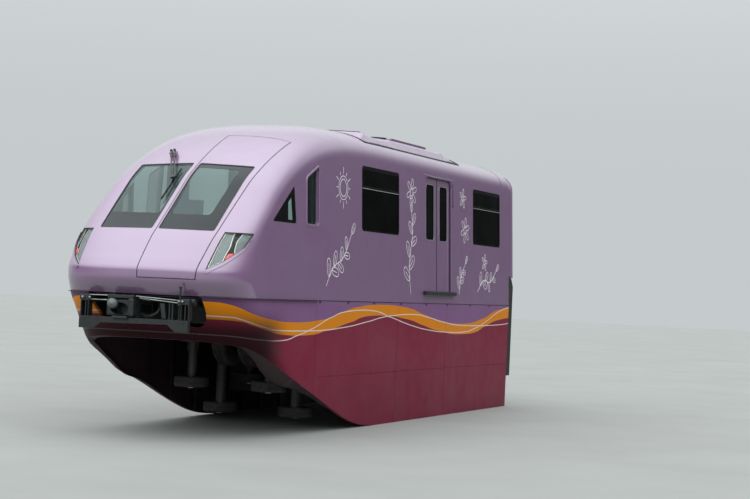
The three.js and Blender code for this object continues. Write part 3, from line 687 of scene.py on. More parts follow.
@dataclass(frozen=True)
class Plain:
    """Painted, moulded or cast surface with cloudy wear.

    Attributes:
        name: the material's name.
        base: main colour.
        worn: colour of the worn or dusty patches.
        wear: share of the worn colour at most.
        grain: scale of the patches.
        roughness: lowest and highest roughness.
        metal: metalness.
        depth: depth of the bump in metres.
        glow: strength of its own light, which stands for the lamps of a lit room.
        gloss: strength of its reflections.
    """

    name: str
    base: Colour
    worn: Colour
    wear: float = 0.4
    grain: float = 6.0
    roughness: tuple[float, float] = (0.4, 0.6)
    metal: float = 0.0
    # glow: strength of its own light; on the cab lining this is painted light, standing for the daylight
    # inside the cab.
    depth: float = 0.0008
    glow: float = 0.0
    gloss: float = 0.5

    def build(self) -> Material:
        """Make the material."""
        recipe = Recipe(self.name)
        recipe.set(Emission_Color=self.base, Emission_Strength=self.glow, Specular_IOR_Level=self.gloss)
        patches = recipe.noise(self.grain, 6)
        recipe.feed(
            "Base Color",
            recipe.blend(recipe.between(patches, 0.35, 0.7, 0, self.wear), self.base, self.worn),
        )
        recipe.feed("Roughness", recipe.between(recipe.noise(self.grain * 3, 3), 0.3, 0.7, *self.roughness))
        recipe.set(Metallic=self.metal)
        recipe.bump(recipe.noise(self.grain * 12, 4), self.depth, 0.4)
        return recipe.material


@dataclass(frozen=True)
class Glazing:
    """Tinted pane that lets some of the inside show.

    Attributes:
        name: the material's name.
        tint: colour of the pane.
        cover: how much the pane hides what is behind it.
        gloss: strength of its reflections.
    """

    name: str
    tint: Colour
    cover: float
    gloss: float = 0.5

    def build(self) -> Material:
        """Make the material."""
        recipe = Recipe(self.name)
        haze = recipe.between(recipe.noise(1.5, 3), 0.4, 0.8, 0.0, 0.04)
        recipe.feed("Base Color", recipe.blend(haze, self.tint, colour(90, 102, 102)))
        recipe.feed("Roughness", recipe.between(recipe.noise(3, 3), 0.3, 0.7, 0.03, 0.07))
        recipe.set(Alpha=self.cover, IOR=1.45, Specular_IOR_Level=self.gloss)
        return recipe.material


@dataclass(frozen=True)
class Lens:
    """Coloured lamp lens over a bright backing.

    Attributes:
        name: the material's name.
        tint: colour of the lens.
        glow: strength of its own light.
    """

    name: str
    tint: Colour
    glow: float = 0.0

    def build(self) -> Material:
        """Make the material."""
        recipe = Recipe(self.name)
        ribs = recipe.noise(60, 1, recipe.stretched((1, 0.1, 0.1)))
        recipe.feed(
            "Base Color", recipe.blend(recipe.between(ribs, 0.3, 0.7, 0, 0.1), self.tint, (1, 0.5, 0.3, 1))
        )
        recipe.set(Roughness=0.08, Coat_Weight=0.5, Coat_Roughness=0.03, Emission_Strength=self.glow)
        recipe.set(Emission_Color=self.tint)
        return recipe.material


class Finishes:
    """The finishes of the car, made once."""

    def __init__(self) -> None:
        """Make every material."""
        self.paint = BodyPaint().build()
        self.skirt_paint = BodyPaint("skirt_paint", 0.0, 1.4, 0.06).build()
        plain = (
            Plain("seal_rubber", colour(20, 20, 22), colour(52, 50, 50), 0.5, 9, (0.55, 0.8), 0, 0.0006),
            Plain("black_plastic", colour(24, 25, 27), colour(60, 60, 60), 0.3, 7, (0.35, 0.55), 0, 0.0004),
            Plain("slate_steel", colour(19, 23, 25), colour(40, 41, 40), 0.35, 5, (0.4, 0.65), 0.2, 0.001),
            Plain("cast_iron", colour(96, 102, 102), colour(56, 54, 52), 0.6, 14, (0.4, 0.6), 0.6, 0.002),
            Plain(
                "bright_steel", colour(150, 154, 152), colour(90, 88, 82), 0.5, 9, (0.25, 0.45), 0.9, 0.0004
            ),
            Plain(
                "window_alloy", colour(190, 190, 194), colour(140, 140, 142), 0.4, 8, (0.3, 0.45), 0.8,
                0.0003,
            ),
            Plain(
                "lining_panel", colour(196, 194, 188), colour(160, 158, 150), 0.4, 3, (0.5, 0.65), 0, 0.0004
            ),
            # The cab lining glows: painted light, standing for the daylight inside the cab.
            Plain(
                "glowing_cab_lining", colour(168, 192, 188), colour(140, 160, 158), 0.4, 3, (0.5, 0.65), 0, 0.0004,
                0.75,
            ),
            # Near-black maroon finish: painted shade for the chin's rolled-under lip and the inward faces of
            # the chin and skirts.
            Plain("shaded_underside", colour(44, 18, 26), colour(20, 16, 18), 0.7, 2, (0.6, 0.8), 0, 0.0008),
            Plain(
                "screen_border", colour(26, 31, 34), colour(38, 44, 47), 0.5, 1.2, (0.12, 0.2), 0, 0.0001,
                0, 0.22,
            ),
            Plain(
                "black_print", colour(7, 8, 9), colour(16, 17, 18), 0.5, 1.5, (0.12, 0.2), 0, 0.0001, 0,
                0.15,
            ),
            Plain("door_sill", colour(104, 100, 106), colour(80, 76, 80), 0.5, 6, (0.4, 0.55), 0.3, 0.0004),
            Plain("lamp_bowl", colour(100, 107, 107), colour(80, 88, 86), 0.5, 6, (0.12, 0.22), 0.35, 0.0004),
            Plain("lamp_rim", colour(196, 194, 186), colour(170, 168, 160), 0.4, 8, (0.2, 0.3), 0.2, 0.0003),
            Plain("white_film", colour(228, 222, 226), colour(205, 198, 204), 0.4, 3, (0.35, 0.5), 0, 0.0002),
            Plain("frame_steel", colour(66, 68, 70), colour(104, 84, 70), 0.4, 4, (0.5, 0.7), 0.5, 0.001),
            Plain("tyre_rubber", colour(26, 26, 27), colour(74, 68, 62), 0.5, 8, (0.7, 0.9), 0, 0.0015),
            Plain("seat_fabric", colour(66, 58, 96), colour(90, 84, 120), 0.5, 24, (0.8, 0.95), 0, 0.001),
        )
        made = {finish.name: finish.build() for finish in plain}
        self.rubber = made["seal_rubber"]
        self.black_plastic = made["black_plastic"]
        self.slate = made["slate_steel"]
        self.cast_iron = made["cast_iron"]
        self.bright_steel = made["bright_steel"]
        self.alloy = made["window_alloy"]
        self.lining = made["lining_panel"]
        self.glowing_cab_lining = made["glowing_cab_lining"]
        self.shaded_underside = made["shaded_underside"]
        self.border = made["screen_border"]
        self.black_print = made["black_print"]
        self.sill = made["door_sill"]
        self.lamp_bowl = made["lamp_bowl"]
        self.lamp_rim = made["lamp_rim"]
        self.white_film = made["white_film"]
        self.steel = made["frame_steel"]
        self.tyre = made["tyre_rubber"]
        self.fabric = made["seat_fabric"]
        # Almost opaque near-black pane: partly the glass's tint, partly painted shade standing for the dark
        # saloon behind it.
        self.dark_glass = Glazing("dark_glass", colour(4, 4, 4), 0.96, 0.05).build()
        self.screen_glass = Glazing("screen_glass", colour(60, 78, 77), 0.5, 0.5).build()
        self.side_glass = Glazing("cab_side_glass", colour(20, 34, 32), 0.35, 0.3).build()
        self.clear_cover = Glazing("lamp_cover", colour(150, 165, 165), 0.03, 0.1).build()
        self.red_lens = Lens("red_lens", colour(206, 24, 12), 0.2).build()


# Hull


@dataclass(frozen=True)
class Station:
    """One station of the hull: its point on the centre line and its point on the side."""

    centre_y: float
    centre_z: float
    side_y: float
    side_z: float


class Hull:
    """The car's outer form: a loft over the nose and roof that runs out flat into the side walls.

    Attributes:
        HALF_WIDTH: half width of the body at the seam above the skirts.
        SKIRT_HALF_WIDTH: half width over the skirts.
        LEAN: how much the walls lean in for each metre of height.
        SEAM_Z: height of the seam.
        REAR_Y: rear end of the body.
        SKIRT_BOTTOM_Z: lower edge of the skirts.
        CORNER_POWER: power of the curve across the roof; 2 is an ellipse.
        AROUND: faces across the roof from side to side.
        PER_GAP: rows of faces from one station to the next.
        SIDE_STEPS: faces up each side wall.
        SEAM_RUN: how far behind the first station the wall's strips start on the seam.
        CHIN_FOOT_Y: rear end of the chin's side strips.
        MERGED: distance within which points are one.
        ALONG_SURFACE: cosine above which a face runs along the surface.
        UPPER, LOWER: stations of the upper hull and of the chin.
    """

    HALF_WIDTH = 1.33
    SKIRT_HALF_WIDTH = 1.335
    LEAN = 0.0469
    SEAM_Z = 1.0
    REAR_Y = 5.852
    SKIRT_BOTTOM_Z = -0.85
    CORNER_POWER = 2.8
    AROUND = 56
    PER_GAP = 5
    SIDE_STEPS = 3
    SEAM_RUN = 0.25
    CHIN_FOOT_Y = -3.078
    MERGED = 2e-5
    ALONG_SURFACE = 0.8
    UPPER = (
        Station(-5.745, 1.0, -4.83, 1.0), Station(-5.8, 1.11, -4.89, 1.11),
        Station(-5.835, 1.22, -4.93, 1.19), Station(-5.835, 1.31, -4.95, 1.27),
        Station(-5.78, 1.41, -4.96, 1.35), Station(-5.69, 1.517, -4.955, 1.44),
        Station(-5.493, 1.742, -4.925, 1.61), Station(-5.26, 1.95, -4.87, 1.76),
        Station(-5.028, 2.157, -4.78, 1.89), Station(-4.78, 2.38, -4.53, 2.11),
        Station(-4.527, 2.602, -4.28, 2.33), Station(-4.311, 2.75, -4.08, 2.47),
        Station(-4.095, 2.886, -3.89, 2.59), Station(-3.85, 3.025, -3.66, 2.7),
        Station(-3.596, 3.15, -3.42, 2.8), Station(-3.391, 3.236, -3.23, 2.86),
        Station(-3.0, 3.36, -2.88, 2.95), Station(-2.5, 3.465, -2.42, 3.02),
        Station(-1.9, 3.532, -1.86, 3.07), Station(-1.2, 3.55, -1.19, 3.095),
        Station(-0.4, 3.554, -0.4, 3.1), Station(1.7, 3.554, 1.7, 3.1),
        Station(3.8, 3.554, 3.8, 3.1), Station(5.852, 3.554, 5.852, 3.1),
    )
    LOWER = (
        Station(-4.05, -0.85, -3.1, -0.85), Station(-4.3, -0.3, -3.35, -0.3),
        Station(-4.68, 0.03, -3.7, 0.03), Station(-5.06, 0.22, -4.12, 0.22),
        Station(-5.27, 0.37, -4.35, 0.37), Station(-5.4, 0.52, -4.47, 0.52),
        Station(-5.51, 0.67, -4.58, 0.67), Station(-5.61, 0.81, -4.69, 0.81),
        Station(-5.69, 0.91, -4.77, 0.91), Station(-5.745, 0.9995, -4.83, 0.9995),
    )

    def half_width(self, height: np.ndarray | float) -> np.ndarray | float:
        """Half width of the body at a height."""
        wall = self.HALF_WIDTH - self.LEAN * (height - self.SEAM_Z)
        return np.where(np.asarray(height) >= self.SEAM_Z, wall, self.SKIRT_HALF_WIDTH)

    def faired(self, stations: Sequence[Station]) -> np.ndarray:
        """Stations with smooth ones between them, as rows of centre y, centre z, side y and side z."""
        knots = np.array([(s.centre_y, s.centre_z, s.side_y, s.side_z) for s in stations])
        gaps = np.linalg.norm(np.diff(knots[:, :2], axis=0), axis=1)[:, None]
        slopes = np.diff(knots, axis=0) / gaps
        before, after = slopes[:-1], slopes[1:]
        width = gaps[:-1] + gaps[1:]
        mean = np.where(
            before * after > 0,
            3 * width / ((width + gaps[1:]) / np.where(before == 0, 1, before)
                         + (width + gaps[:-1]) / np.where(after == 0, 1, after)),
            0,
        )
        tangents = np.vstack([slopes[:1], mean, slopes[-1:]])
        rows = []
        for i, gap in enumerate(gaps):
            for t in np.arange(self.PER_GAP) / self.PER_GAP:
                rows.append(
                    knots[i] * (2 * t**3 - 3 * t**2 + 1) + tangents[i] * gap * (t**3 - 2 * t**2 + t)
                    + knots[i + 1] * (3 * t**2 - 2 * t**3) + tangents[i + 1] * gap * (t**3 - t**2)
                )
        return np.array([*rows, knots[-1]])

    @staticmethod
    def moved_in(line: np.ndarray, distance: float) -> np.ndarray:
        """Line of y and z points moved to its inner side by a distance."""
        ahead = np.vstack([line[1:], line[-1:]]) - np.vstack([line[:1], line[:-1]])
        ahead /= np.linalg.norm(ahead, axis=1)[:, None]
        return line + distance * np.stack([ahead[:, 1], -ahead[:, 0]], axis=1)

    def loft(
        self, stations: Sequence[Station], inset: float, foot: Callable[[np.ndarray], np.ndarray]
    ) -> np.ndarray:
        """Grid of points of the hull's sheet, in rows from the nose, each from the right side to the left.

        Args:
            stations: the stations that it passes through.
            inset: distance below the outer face.
            foot: gives, for the side's points, the points at which their wall strips end.

        Returns:
            Array of rows, columns and the three coordinates.
        """
        rows = self.faired(stations)
        centre = self.moved_in(rows[:, :2], inset)
        side = self.moved_in(rows[:, 2:], inset)
        angles = np.linspace(-math.pi / 2, math.pi / 2, self.AROUND + 1)
        across = np.sign(angles) * np.abs(np.sin(angles)) ** (2 / self.CORNER_POWER)
        back = 1 - np.maximum(0, np.cos(angles)) ** (2 / self.CORNER_POWER)
        profile = centre[:, None, :] + (side - centre)[:, None, :] * back[None, :, None]
        strip = (np.arange(self.SIDE_STEPS) / self.SIDE_STEPS)[None, :, None]
        wall = foot(side)[:, None, :] * (1 - strip) + side[:, None, :] * strip
        flat = np.concatenate([wall, profile, wall[:, ::-1]], axis=1)
        ones = np.ones(self.SIDE_STEPS)
        share = np.concatenate([-ones, across, ones])
        x = share[None, :] * (self.half_width(flat[..., 1]) - inset)
        return np.concatenate([x[..., None], flat], axis=2)

    def sheet(self, name: str, points: np.ndarray) -> Piece:
        """Grid mesh laid over an array of points, with its faces pointing out of the car."""
        rows, columns = points.shape[:2]
        bpy.ops.mesh.primitive_grid_add(x_subdivisions=columns - 1, y_subdivisions=rows - 1, size=1)
        piece = settle(bpy.context.active_object, name)
        piece.data.vertices.foreach_set("co", points.reshape(-1))
        with editing(piece):
            bpy.ops.mesh.remove_doubles(threshold=self.MERGED)
            bpy.ops.mesh.delete_loose()
            bpy.ops.mesh.select_all(action="SELECT")
            bpy.ops.mesh.normals_make_consistent(inside=False)
        top = max(piece.data.polygons, key=lambda face: face.center.z)
        if top.normal.z < 0:
            piece.data.flip_normals()
        return piece

    def upper_foot(self, side: np.ndarray) -> np.ndarray:
        """Ends of the upper wall strips, spread along the seam under the side wall."""
        start, free = self.UPPER[0].side_y + self.SEAM_RUN, self.UPPER[9].side_y
        first = side[:, 0].min()
        share = np.clip((side[:, 0] - first) / (free - first), 0, 1)
        turned_back = np.arange(len(side)) > int(np.argmin(side[:, 0]))
        spread = start + (free - start) * np.where(turned_back, share, 0)
        return np.stack([np.maximum(spread, side[:, 0]), np.full(len(side), self.SEAM_Z)], axis=1)

    def lower_foot(self, side: np.ndarray) -> np.ndarray:
        """Ends of the chin's side strips, level with its side points and just behind its rear edge."""
        return np.stack([np.full(len(side), self.CHIN_FOOT_Y), side[:, 1]], axis=1)

    def skin(self, name: str, depth: float, lower: bool = False) -> Piece:
        """Open sheet at a depth below the outer face, of the upper hull or of the chin's form."""
        stations, foot = (self.LOWER, self.lower_foot) if lower else (self.UPPER, self.upper_foot)
        return self.sheet(name, self.loft(stations, depth, foot))

    def shell(self, name: str, outer: float, inner: float, lower: bool = False) -> Piece:
        """Closed shell between two depths below the outer face, of the upper hull or of the chin's form."""
        piece = self.skin(name, outer, lower)
        apply_modifier(piece, "SOLIDIFY", thickness=inner - outer, offset=-1)
        return piece

    def section(self, inset: float, foot_z: float) -> Corners:
        """Outline of the straight rear part, as x and z from the left foot over the roof to the right foot.

        Args:
            inset: distance below the outer face.
            foot_z: height at which both sides end.
        """
        last = self.UPPER[-1]
        half = [(float(self.half_width(foot_z)) - inset, foot_z)]
        for angle in np.linspace(math.pi / 2, 0, 29):
            across = math.sin(angle) ** (2 / self.CORNER_POWER)
            back = 1 - max(0.0, math.cos(angle)) ** (2 / self.CORNER_POWER)
            height = last.centre_z - inset + (last.side_z - last.centre_z) * back
            half.append((across * (float(self.half_width(height)) - inset), height))
        return [*half, *[(-x, z) for x, z in reversed(half[:-1])]]

    def leaning(self, stand_off: float = 0.0) -> Matrix:
        """Matrix that carries what is made at x = 0 to the leaning left wall, or to a distance off it."""
        lean = Matrix.Identity(4)
        lean[0][2] = -self.LEAN
        lean[0][3] = self.HALF_WIDTH + self.LEAN * self.SEAM_Z + stand_off
        return lean

    def wall_prism(self, name: str, outline: Outline, near: float, far: float) -> Piece:
        """Piece of the leaning left wall between two depths, with an outline in y and z."""
        piece = prism_along_x(name, outline, -near, -far)
        piece.data.transform(self.leaning())
        return piece

    def wall_ring(
        self, name: str, outer: Outline, inner: Outline, near: float, far: float, play: float,
    ) -> Piece:
        """Ring in the left wall between two outlines; the play keeps it off the edge that it sits in."""
        ring = self.wall_prism(name, shrunk(outer, play) if play else outer, near, far)
        return carved(ring, self.wall_prism("hole", inner, near - 0.5, far + 0.3))

    def model_surface(self) -> None:
        """Keep the faces, places and normals of the uncut hull, which the cut pieces are shaded by."""
        upper, lower = self.skin("upper", 0), self.skin("lower", 0, lower=True)
        self.faces: list[tuple[int, ...]] = []
        self.places: list[Vector] = []
        self.slopes: list[Vector] = []
        for sheet, foot_x, lean in ((upper, self.HALF_WIDTH, self.LEAN), (lower, self.SKIRT_HALF_WIDTH, 0.0)):
            first = len(self.places)
            self.faces += [tuple(first + i for i in face.vertices) for face in sheet.data.polygons]
            for vertex in sheet.data.vertices:
                place, slope = vertex.co.copy(), vertex.normal.copy()
                if abs(place.x) > foot_x - lean * (place.z - self.SEAM_Z) - self.MERGED:
                    slope = Vector((math.copysign(1, place.x), 0, lean)).normalized()
                self.places.append(place)
                self.slopes.append(slope)
            bpy.data.objects.remove(sheet)
        self.tree = BVHTree.FromPolygons(self.places, self.faces)

    def shade(self, piece: Piece, reach: float = 0.004) -> None:
        """Give a cut piece of the hull the smooth shading of the uncut surface.

        Args:
            piece: piece whose outer faces run along the surface.
            reach: how far off the surface a face still counts as running along it.
        """
        faces, places, slopes, tree = self.faces, self.places, self.slopes, self.tree
        mesh = piece.data
        normals = [(0.0, 0.0, 0.0)] * len(mesh.loops)
        for face in mesh.polygons:
            _, normal, index, distance = tree.find_nearest(face.center)
            if distance > reach or normal.dot(face.normal) < self.ALONG_SURFACE:
                for corner in face.loop_indices:
                    normals[corner] = tuple(face.normal)
                continue
            for corner in face.loop_indices:
                place = mesh.vertices[mesh.loops[corner].vertex_index].co
                spot, _, index, _ = tree.find_nearest(place)
                weights = poly_3d_calc([places[i] for i in faces[index]], spot)
                slope = sum((slopes[i] * w for i, w in zip(faces[index], weights)), Vector())
                normals[corner] = tuple(slope.normalized())
        mesh.normals_split_custom_set(normals)


# Sub-assemblies


@dataclass
class Part:
    """What every sub-assembly works with.

    Attributes:
        frame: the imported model, as loaded.
        hull: the car's outer form.
        finishes: the materials.
    """

    frame: dict
    hull: Hull
    finishes: Finishes

    def body_of(self, node: str) -> str:
        """Name of the body that a node of the frame belongs to."""
        return self.frame["nodes"][node]["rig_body"]

    def hand_over(
        self, piece: Piece, slot: str, *nodes: str, hides: bool = True, angle: float | None = 35.0,
    ) -> Piece:
        """Finish a piece: shade it, let it ride with a node of the frame and hide the nodes that it stands
        for.

        Args:
            piece: dressed mesh object.
            slot: the record's material slot; not used.
            nodes: nodes of the frame; the piece rides with the first.
            hides: whether the piece stands for the nodes.
            angle: smoothing angle in degrees, or None where its shading is set already.

        Returns:
            The same piece.
        """
        if angle is not None:
            smooth(piece, angle)
            apply_modifier(piece, "WEIGHTED_NORMAL", keep_sharp=True)
        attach(piece, self.body_of(nodes[0]))
        if hides:
            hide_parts(*nodes)
        log.info("%s rides with %s, %d faces", piece.name, nodes[0], len(piece.data.polygons))
        return piece


# Nose


@dataclass(frozen=True)
class NoseOutlines:
    """Openings of the nose: seen from the front as x and z, and on the cab's sides as y and z."""

    hatch: Outline = (
        (0.02, 1.21), (0.8, 1.21), (0.868, 1.838), (0.948, 3.0), (0.96, 3.4), (0.02, 3.4)
    )
    windscreen: Outline = ((0.043, 1.848), (0.823, 1.838), (0.846, 2.752), (0.043, 2.786))
    far_windscreen: Outline = ((-0.853, 1.842), (-0.043, 1.848), (-0.043, 2.786), (-0.876, 2.752))
    clear_glass: Outline = ((0.095, 2.054), (0.655, 2.05), (0.685, 2.692), (0.06, 2.716))
    far_clear_glass: Outline = ((-0.08, 2.06), (-0.828, 2.06), (-0.852, 2.722), (-0.062, 2.748))
    headlamp: Outline = (
        (0.915, 1.335), (1.0, 1.392), (1.082, 1.453), (1.15, 1.531), (1.229, 1.643), (1.256, 1.798),
        (1.254, 1.83), (0.957, 1.834),
    )
    inner_reflector: Outline = (
        (0.924, 1.35), (0.998, 1.402), (1.066, 1.452), (1.066, 1.5), (1.086, 1.64), (1.068, 1.824),
        (0.964, 1.824),
    )
    outer_reflector: Outline = (
        (1.15, 1.546), (1.218, 1.648), (1.245, 1.796), (1.242, 1.82), (1.15, 1.82), (1.126, 1.72),
        (1.134, 1.6),
    )
    tail_lamp: Outline = ((1.084, 1.466), (1.146, 1.536), (1.134, 1.56), (1.098, 1.552), (1.078, 1.505))
    triangle: Outline = ((-4.54, 2.022), (-3.775, 2.022), (-3.845, 2.534))
    triangle_clear: Outline = ((-4.04, 2.065), (-3.832, 2.065), (-3.872, 2.41), (-4.04, 2.3))
    narrow: Outline = ((-3.42, 2.04), (-3.02, 2.04), (-3.005, 2.85), (-3.42, 2.665))


def across(outline: Outline, sign: int) -> Corners:
    """Outline in x and z, on the other side of the car where the sign is negative."""
    return [(sign * x, z) for x, z in outline]


def let_out(outline: Outline, distance: float, radius: float) -> Outline:
    """Outline let out by a distance, or else with rounded corners where it has a radius."""
    if distance:
        return shrunk(outline, -distance)
    return rounded(outline, radius) if radius else outline


def rectangle(start: float, end: float, bottom: float, top: float) -> Corners:
    """Corners of an upright rectangle."""
    return [(start, bottom), (end, bottom), (end, top), (start, top)]


@dataclass
class Nose(Part):
    """Cowl, escape hatch, windscreens, lamps and side windows of the cab."""

    outlines: NoseOutlines = NoseOutlines()
    wall: float = 0.06
    hatch_wall: float = 0.045
    hatch_gap: float = 0.006
    cab_rear_y: float = -2.8
    hinge_y: float = -3.391
    hinge_z: float = 3.236
    hinge_slope: float = 0.4
    hatch_foot_z: float = 1.21
    ahead_y: float = -6.0
    lamp_rear_y: float = -4.78
    screen_rear_y: float = -3.9
    screen_corner: float = 0.03
    window_corner: float = 0.05
    side_tool_x: tuple[float, float] = (1.0, 1.6)

    def build(self) -> None:
        """Build and dress every piece of the nose."""
        self.build_cowl()
        self.build_hatch()
        self.build_hatch_seal()
        self.build_cab_lining()
        self.build_screen("hatch_screen", self.outlines.windscreen, self.outlines.clear_glass, "hatch_glass")
        self.build_screen(
            "fixed_screen", self.outlines.far_windscreen, self.outlines.far_clear_glass, "windscreen",
        )
        for name, sign in SIDES:
            self.build_headlamp(name, sign)
            self.build_side_glass(name, sign)

    def hatch_tool(self, gap: float, hinge_gap: float) -> Piece:
        """Prism that takes the hatch out of the nose, smaller by a gap all round."""
        tool = prism_along_y("hatch_tool", shrunk(self.outlines.hatch, gap), -6.3, -3.0)
        hinge_y = self.hinge_y - hinge_gap
        foot = self.hatch_foot_z + gap
        side_view = (
            (-6.3, foot), (-4.8, foot), (hinge_y + self.hinge_slope * 0.3, self.hinge_z - 0.3),
            (hinge_y - self.hinge_slope * 0.2, self.hinge_z + 0.2), (-6.3, 3.5),
        )
        return carved(tool, prism_along_x("slice", side_view, -0.5, 1.5), left=Cut.INSIDE)

    def through(self, name: str, outline: Outline, rear_y: float | None = None) -> Piece:
        """Tool that takes an outline in x and z out of the nose, back to the screens' depth unless told."""
        return prism_along_y(name, outline, self.ahead_y, self.screen_rear_y if rear_y is None else rear_y)

    def openings(self, grown: float) -> list[Piece]:
        """Tools for the fixed windscreen, the lamps and the side windows, let out by a distance."""
        shapes = self.outlines
        tools = [self.through("screen", let_out(shapes.far_windscreen, grown, self.screen_corner))]
        for sign in (1, -1):
            lamp = let_out(across(shapes.headlamp, sign), grown, 0)
            tools.append(self.through("lamp", lamp, self.lamp_rear_y))
            for outline in (shapes.triangle, shapes.narrow):
                edge = let_out(outline, grown, self.window_corner)
                tools.append(prism_along_x("window", edge, *(sign * x for x in self.side_tool_x)))
        return tools

    def build_cowl(self) -> None:
        """Cowl over the cab with its openings; the raised lips round the narrow windows are made with the
        side glass.
        """
        cowl = self.hull.shell("nose_cowl_skin", 0, self.wall)
        kept_between(cowl, (-8, 0.5), (self.cab_rear_y, 4))
        carved(cowl, self.hatch_tool(0, 0), *self.openings(0))
        paint_all(cowl, self.finishes.paint)
        self.hull.shade(cowl)
        self.hand_over(cowl, "lilac_paint", "nose_cowl", angle=None)

    def build_hatch(self) -> None:
        """Escape hatch with the opening for its pane."""
        hatch = self.hull.shell("escape_hatch_skin", 0, self.hatch_wall)
        carved(hatch, self.hatch_tool(self.hatch_gap, 0.0006), left=Cut.INSIDE)
        carved(hatch, self.through("screen", rounded(self.outlines.windscreen, self.screen_corner)))
        paint_all(hatch, self.finishes.paint)
        self.hull.shade(hatch)
        self.hand_over(hatch, "lilac_paint", "escape_hatch", angle=None)

    def build_hatch_seal(self) -> None:
        """Dark seal on the cowl's edge round the hatch."""
        seal = self.hull.shell("hatch_seal", -0.0006, 0.006)
        carved(seal, self.hatch_tool(-0.007, -0.012), left=Cut.INSIDE)
        carved(seal, self.hatch_tool(0.0055, -0.0006))
        self.hull.shade(seal, 0.01)
        self.hand_over(paint_all(seal, self.finishes.rubber), "rubber", "nose_cowl", hides=False, angle=None)

    def build_cab_lining(self) -> None:
        """Pale lining inside the cowl and the hatch, which glows as painted light for the daylit cab, and
        dark lockers beside the bulkhead's door.
        """
        lining = self.hull.shell("glowing_cab_lining", self.wall + 0.001, self.wall + 0.005)
        kept_between(lining, (-8, 1.05), (self.cab_rear_y - 0.002, 4))
        carved(lining, self.hatch_tool(-0.02, 0), *self.openings(0.01))
        # Glowing finish: painted light for the daylit cab.
        paint_all(lining, self.finishes.glowing_cab_lining)
        self.hand_over(lining, "lining", "nose_cowl", hides=False, angle=60)
        inner = self.hull.shell("hatch_lining", self.hatch_wall + 0.001, self.hatch_wall + 0.005)
        carved(inner, self.hatch_tool(self.hatch_gap + 0.02, 0.02), left=Cut.INSIDE)
        carved(inner, self.through("screen", shrunk(self.outlines.windscreen, -0.01)))
        # Glowing finish: painted light for the daylit cab.
        paint_all(inner, self.finishes.glowing_cab_lining)
        self.hand_over(inner, "lining", "escape_hatch", hides=False, angle=60)
        for side, sign in SIDES:
            locker = block(
                f"cab_locker_{side}", (0.86, -2.9, 1.95), (1.19, self.cab_rear_y - 0.004, 2.92), 0.012, 3
            )
            groove = block("groove", (1.02, -2.91, 1.93), (1.028, -2.894, 2.94))
            carved(locker, groove)
            # The lockers' black stands in part for the shade in the cab's rear corners, seen through the
            # narrow windows.
            paint_all(on_side(locker, sign), self.finishes.black_plastic)
            self.hand_over(locker, "slate_steel", "cab_bulkhead", hides=False)

    def layer(
        self, name: str, near: float, far: float, outline: Outline, hole: Outline | None = None,
        rear_y: float | None = None,
    ) -> Piece:
        """Part of the nose's skin between two depths, within an outline seen from the front.

        Args:
            name: the object's name.
            near: depth of its outer face.
            far: depth of its inner face.
            outline: its edge, as x and z.
            hole: edge of the opening in it, as x and z.
            rear_y: how far back it reaches.

        Returns:
            The new piece, shaded like the skin.
        """
        piece = self.hull.shell(name, near, far)
        carved(piece, self.through("edge", outline, rear_y), left=Cut.INSIDE)
        if hole is not None:
            carved(piece, self.through("hole", hole, rear_y))
        self.hull.shade(piece, far + 0.004)
        return piece

    def build_screen(self, name: str, outline: Outline, clear: Outline, node: str) -> None:
        """Windscreen pane with its grey border and its dark seal."""
        edge = rounded(outline, self.screen_corner)
        pane = self.layer(f"{name}_pane", 0.009, 0.015, shrunk(edge, 0.003))
        paint_all(pane, self.finishes.screen_glass)
        border = self.layer(f"{name}_border", 0.0075, 0.009, shrunk(edge, 0.003), rounded(clear, 0.05))
        paint_all(border, self.finishes.border)
        seal = self.layer(f"{name}_seal", 0.002, 0.02, shrunk(edge, 0.0006), shrunk(edge, 0.011))
        paint_all(seal, self.finishes.rubber)
        self.hand_over(joined(name, [pane, border, seal]), "screen_glass", node, angle=None)

    def build_headlamp(self, side: str, sign: int) -> None:
        """Headlamp: two bowls, a black divider with the tail lamp at its foot, a clear cover and a seal."""
        look, shapes = self.finishes, self.outlines
        edge, inner, outer, tail = (across(outline, sign) for outline in (
            shapes.headlamp, shapes.inner_reflector, shapes.outer_reflector, shapes.tail_lamp,
        ))
        layers = (
            ("housing", 0.03, 0.05, edge, None, look.black_print),
            ("inner_bowl", 0.018, 0.032, inner, None, look.lamp_bowl),
            ("inner_rim", 0.014, 0.02, inner, shrunk(inner, 0.008), look.lamp_rim),
            ("outer_bowl", 0.018, 0.032, outer, None, look.lamp_bowl),
            ("outer_rim", 0.014, 0.02, outer, shrunk(outer, 0.007), look.lamp_rim),
            ("tail_lamp", 0.01, 0.032, tail, None, look.red_lens),
            ("cover", 0.004, 0.007, shrunk(edge, 0.004), None, look.clear_cover),
            ("seal", 0.001, 0.03, shrunk(edge, 0.0006), shrunk(edge, 0.008), look.rubber),
        )
        pieces = []
        for layer, near, far, outline, hole, material in layers:
            piece = self.layer(f"headlamp_{side}_{layer}", near, far, outline, hole, self.lamp_rear_y)
            pieces.append(paint_all(piece, material))
        self.hand_over(joined(f"headlamp_{side}_unit", pieces), "lamp_glass", f"headlamp_{side}", angle=None)
        foot = shapes.headlamp[:6]
        below = [(x + 0.012, z - 0.05) for x, z in foot]
        strip = across([*foot, *reversed(below)], sign)
        lip = self.layer(
            f"headlamp_{side}_lip", -0.009, 0.002, strip, shrunk(edge, -0.008), self.lamp_rear_y + 0.2,
        )
        bevel_edges(lip, 0.008, 3, 40)
        self.hand_over(paint_all(lip, look.paint), "lilac_paint", "nose_cowl", hides=False, angle=60)

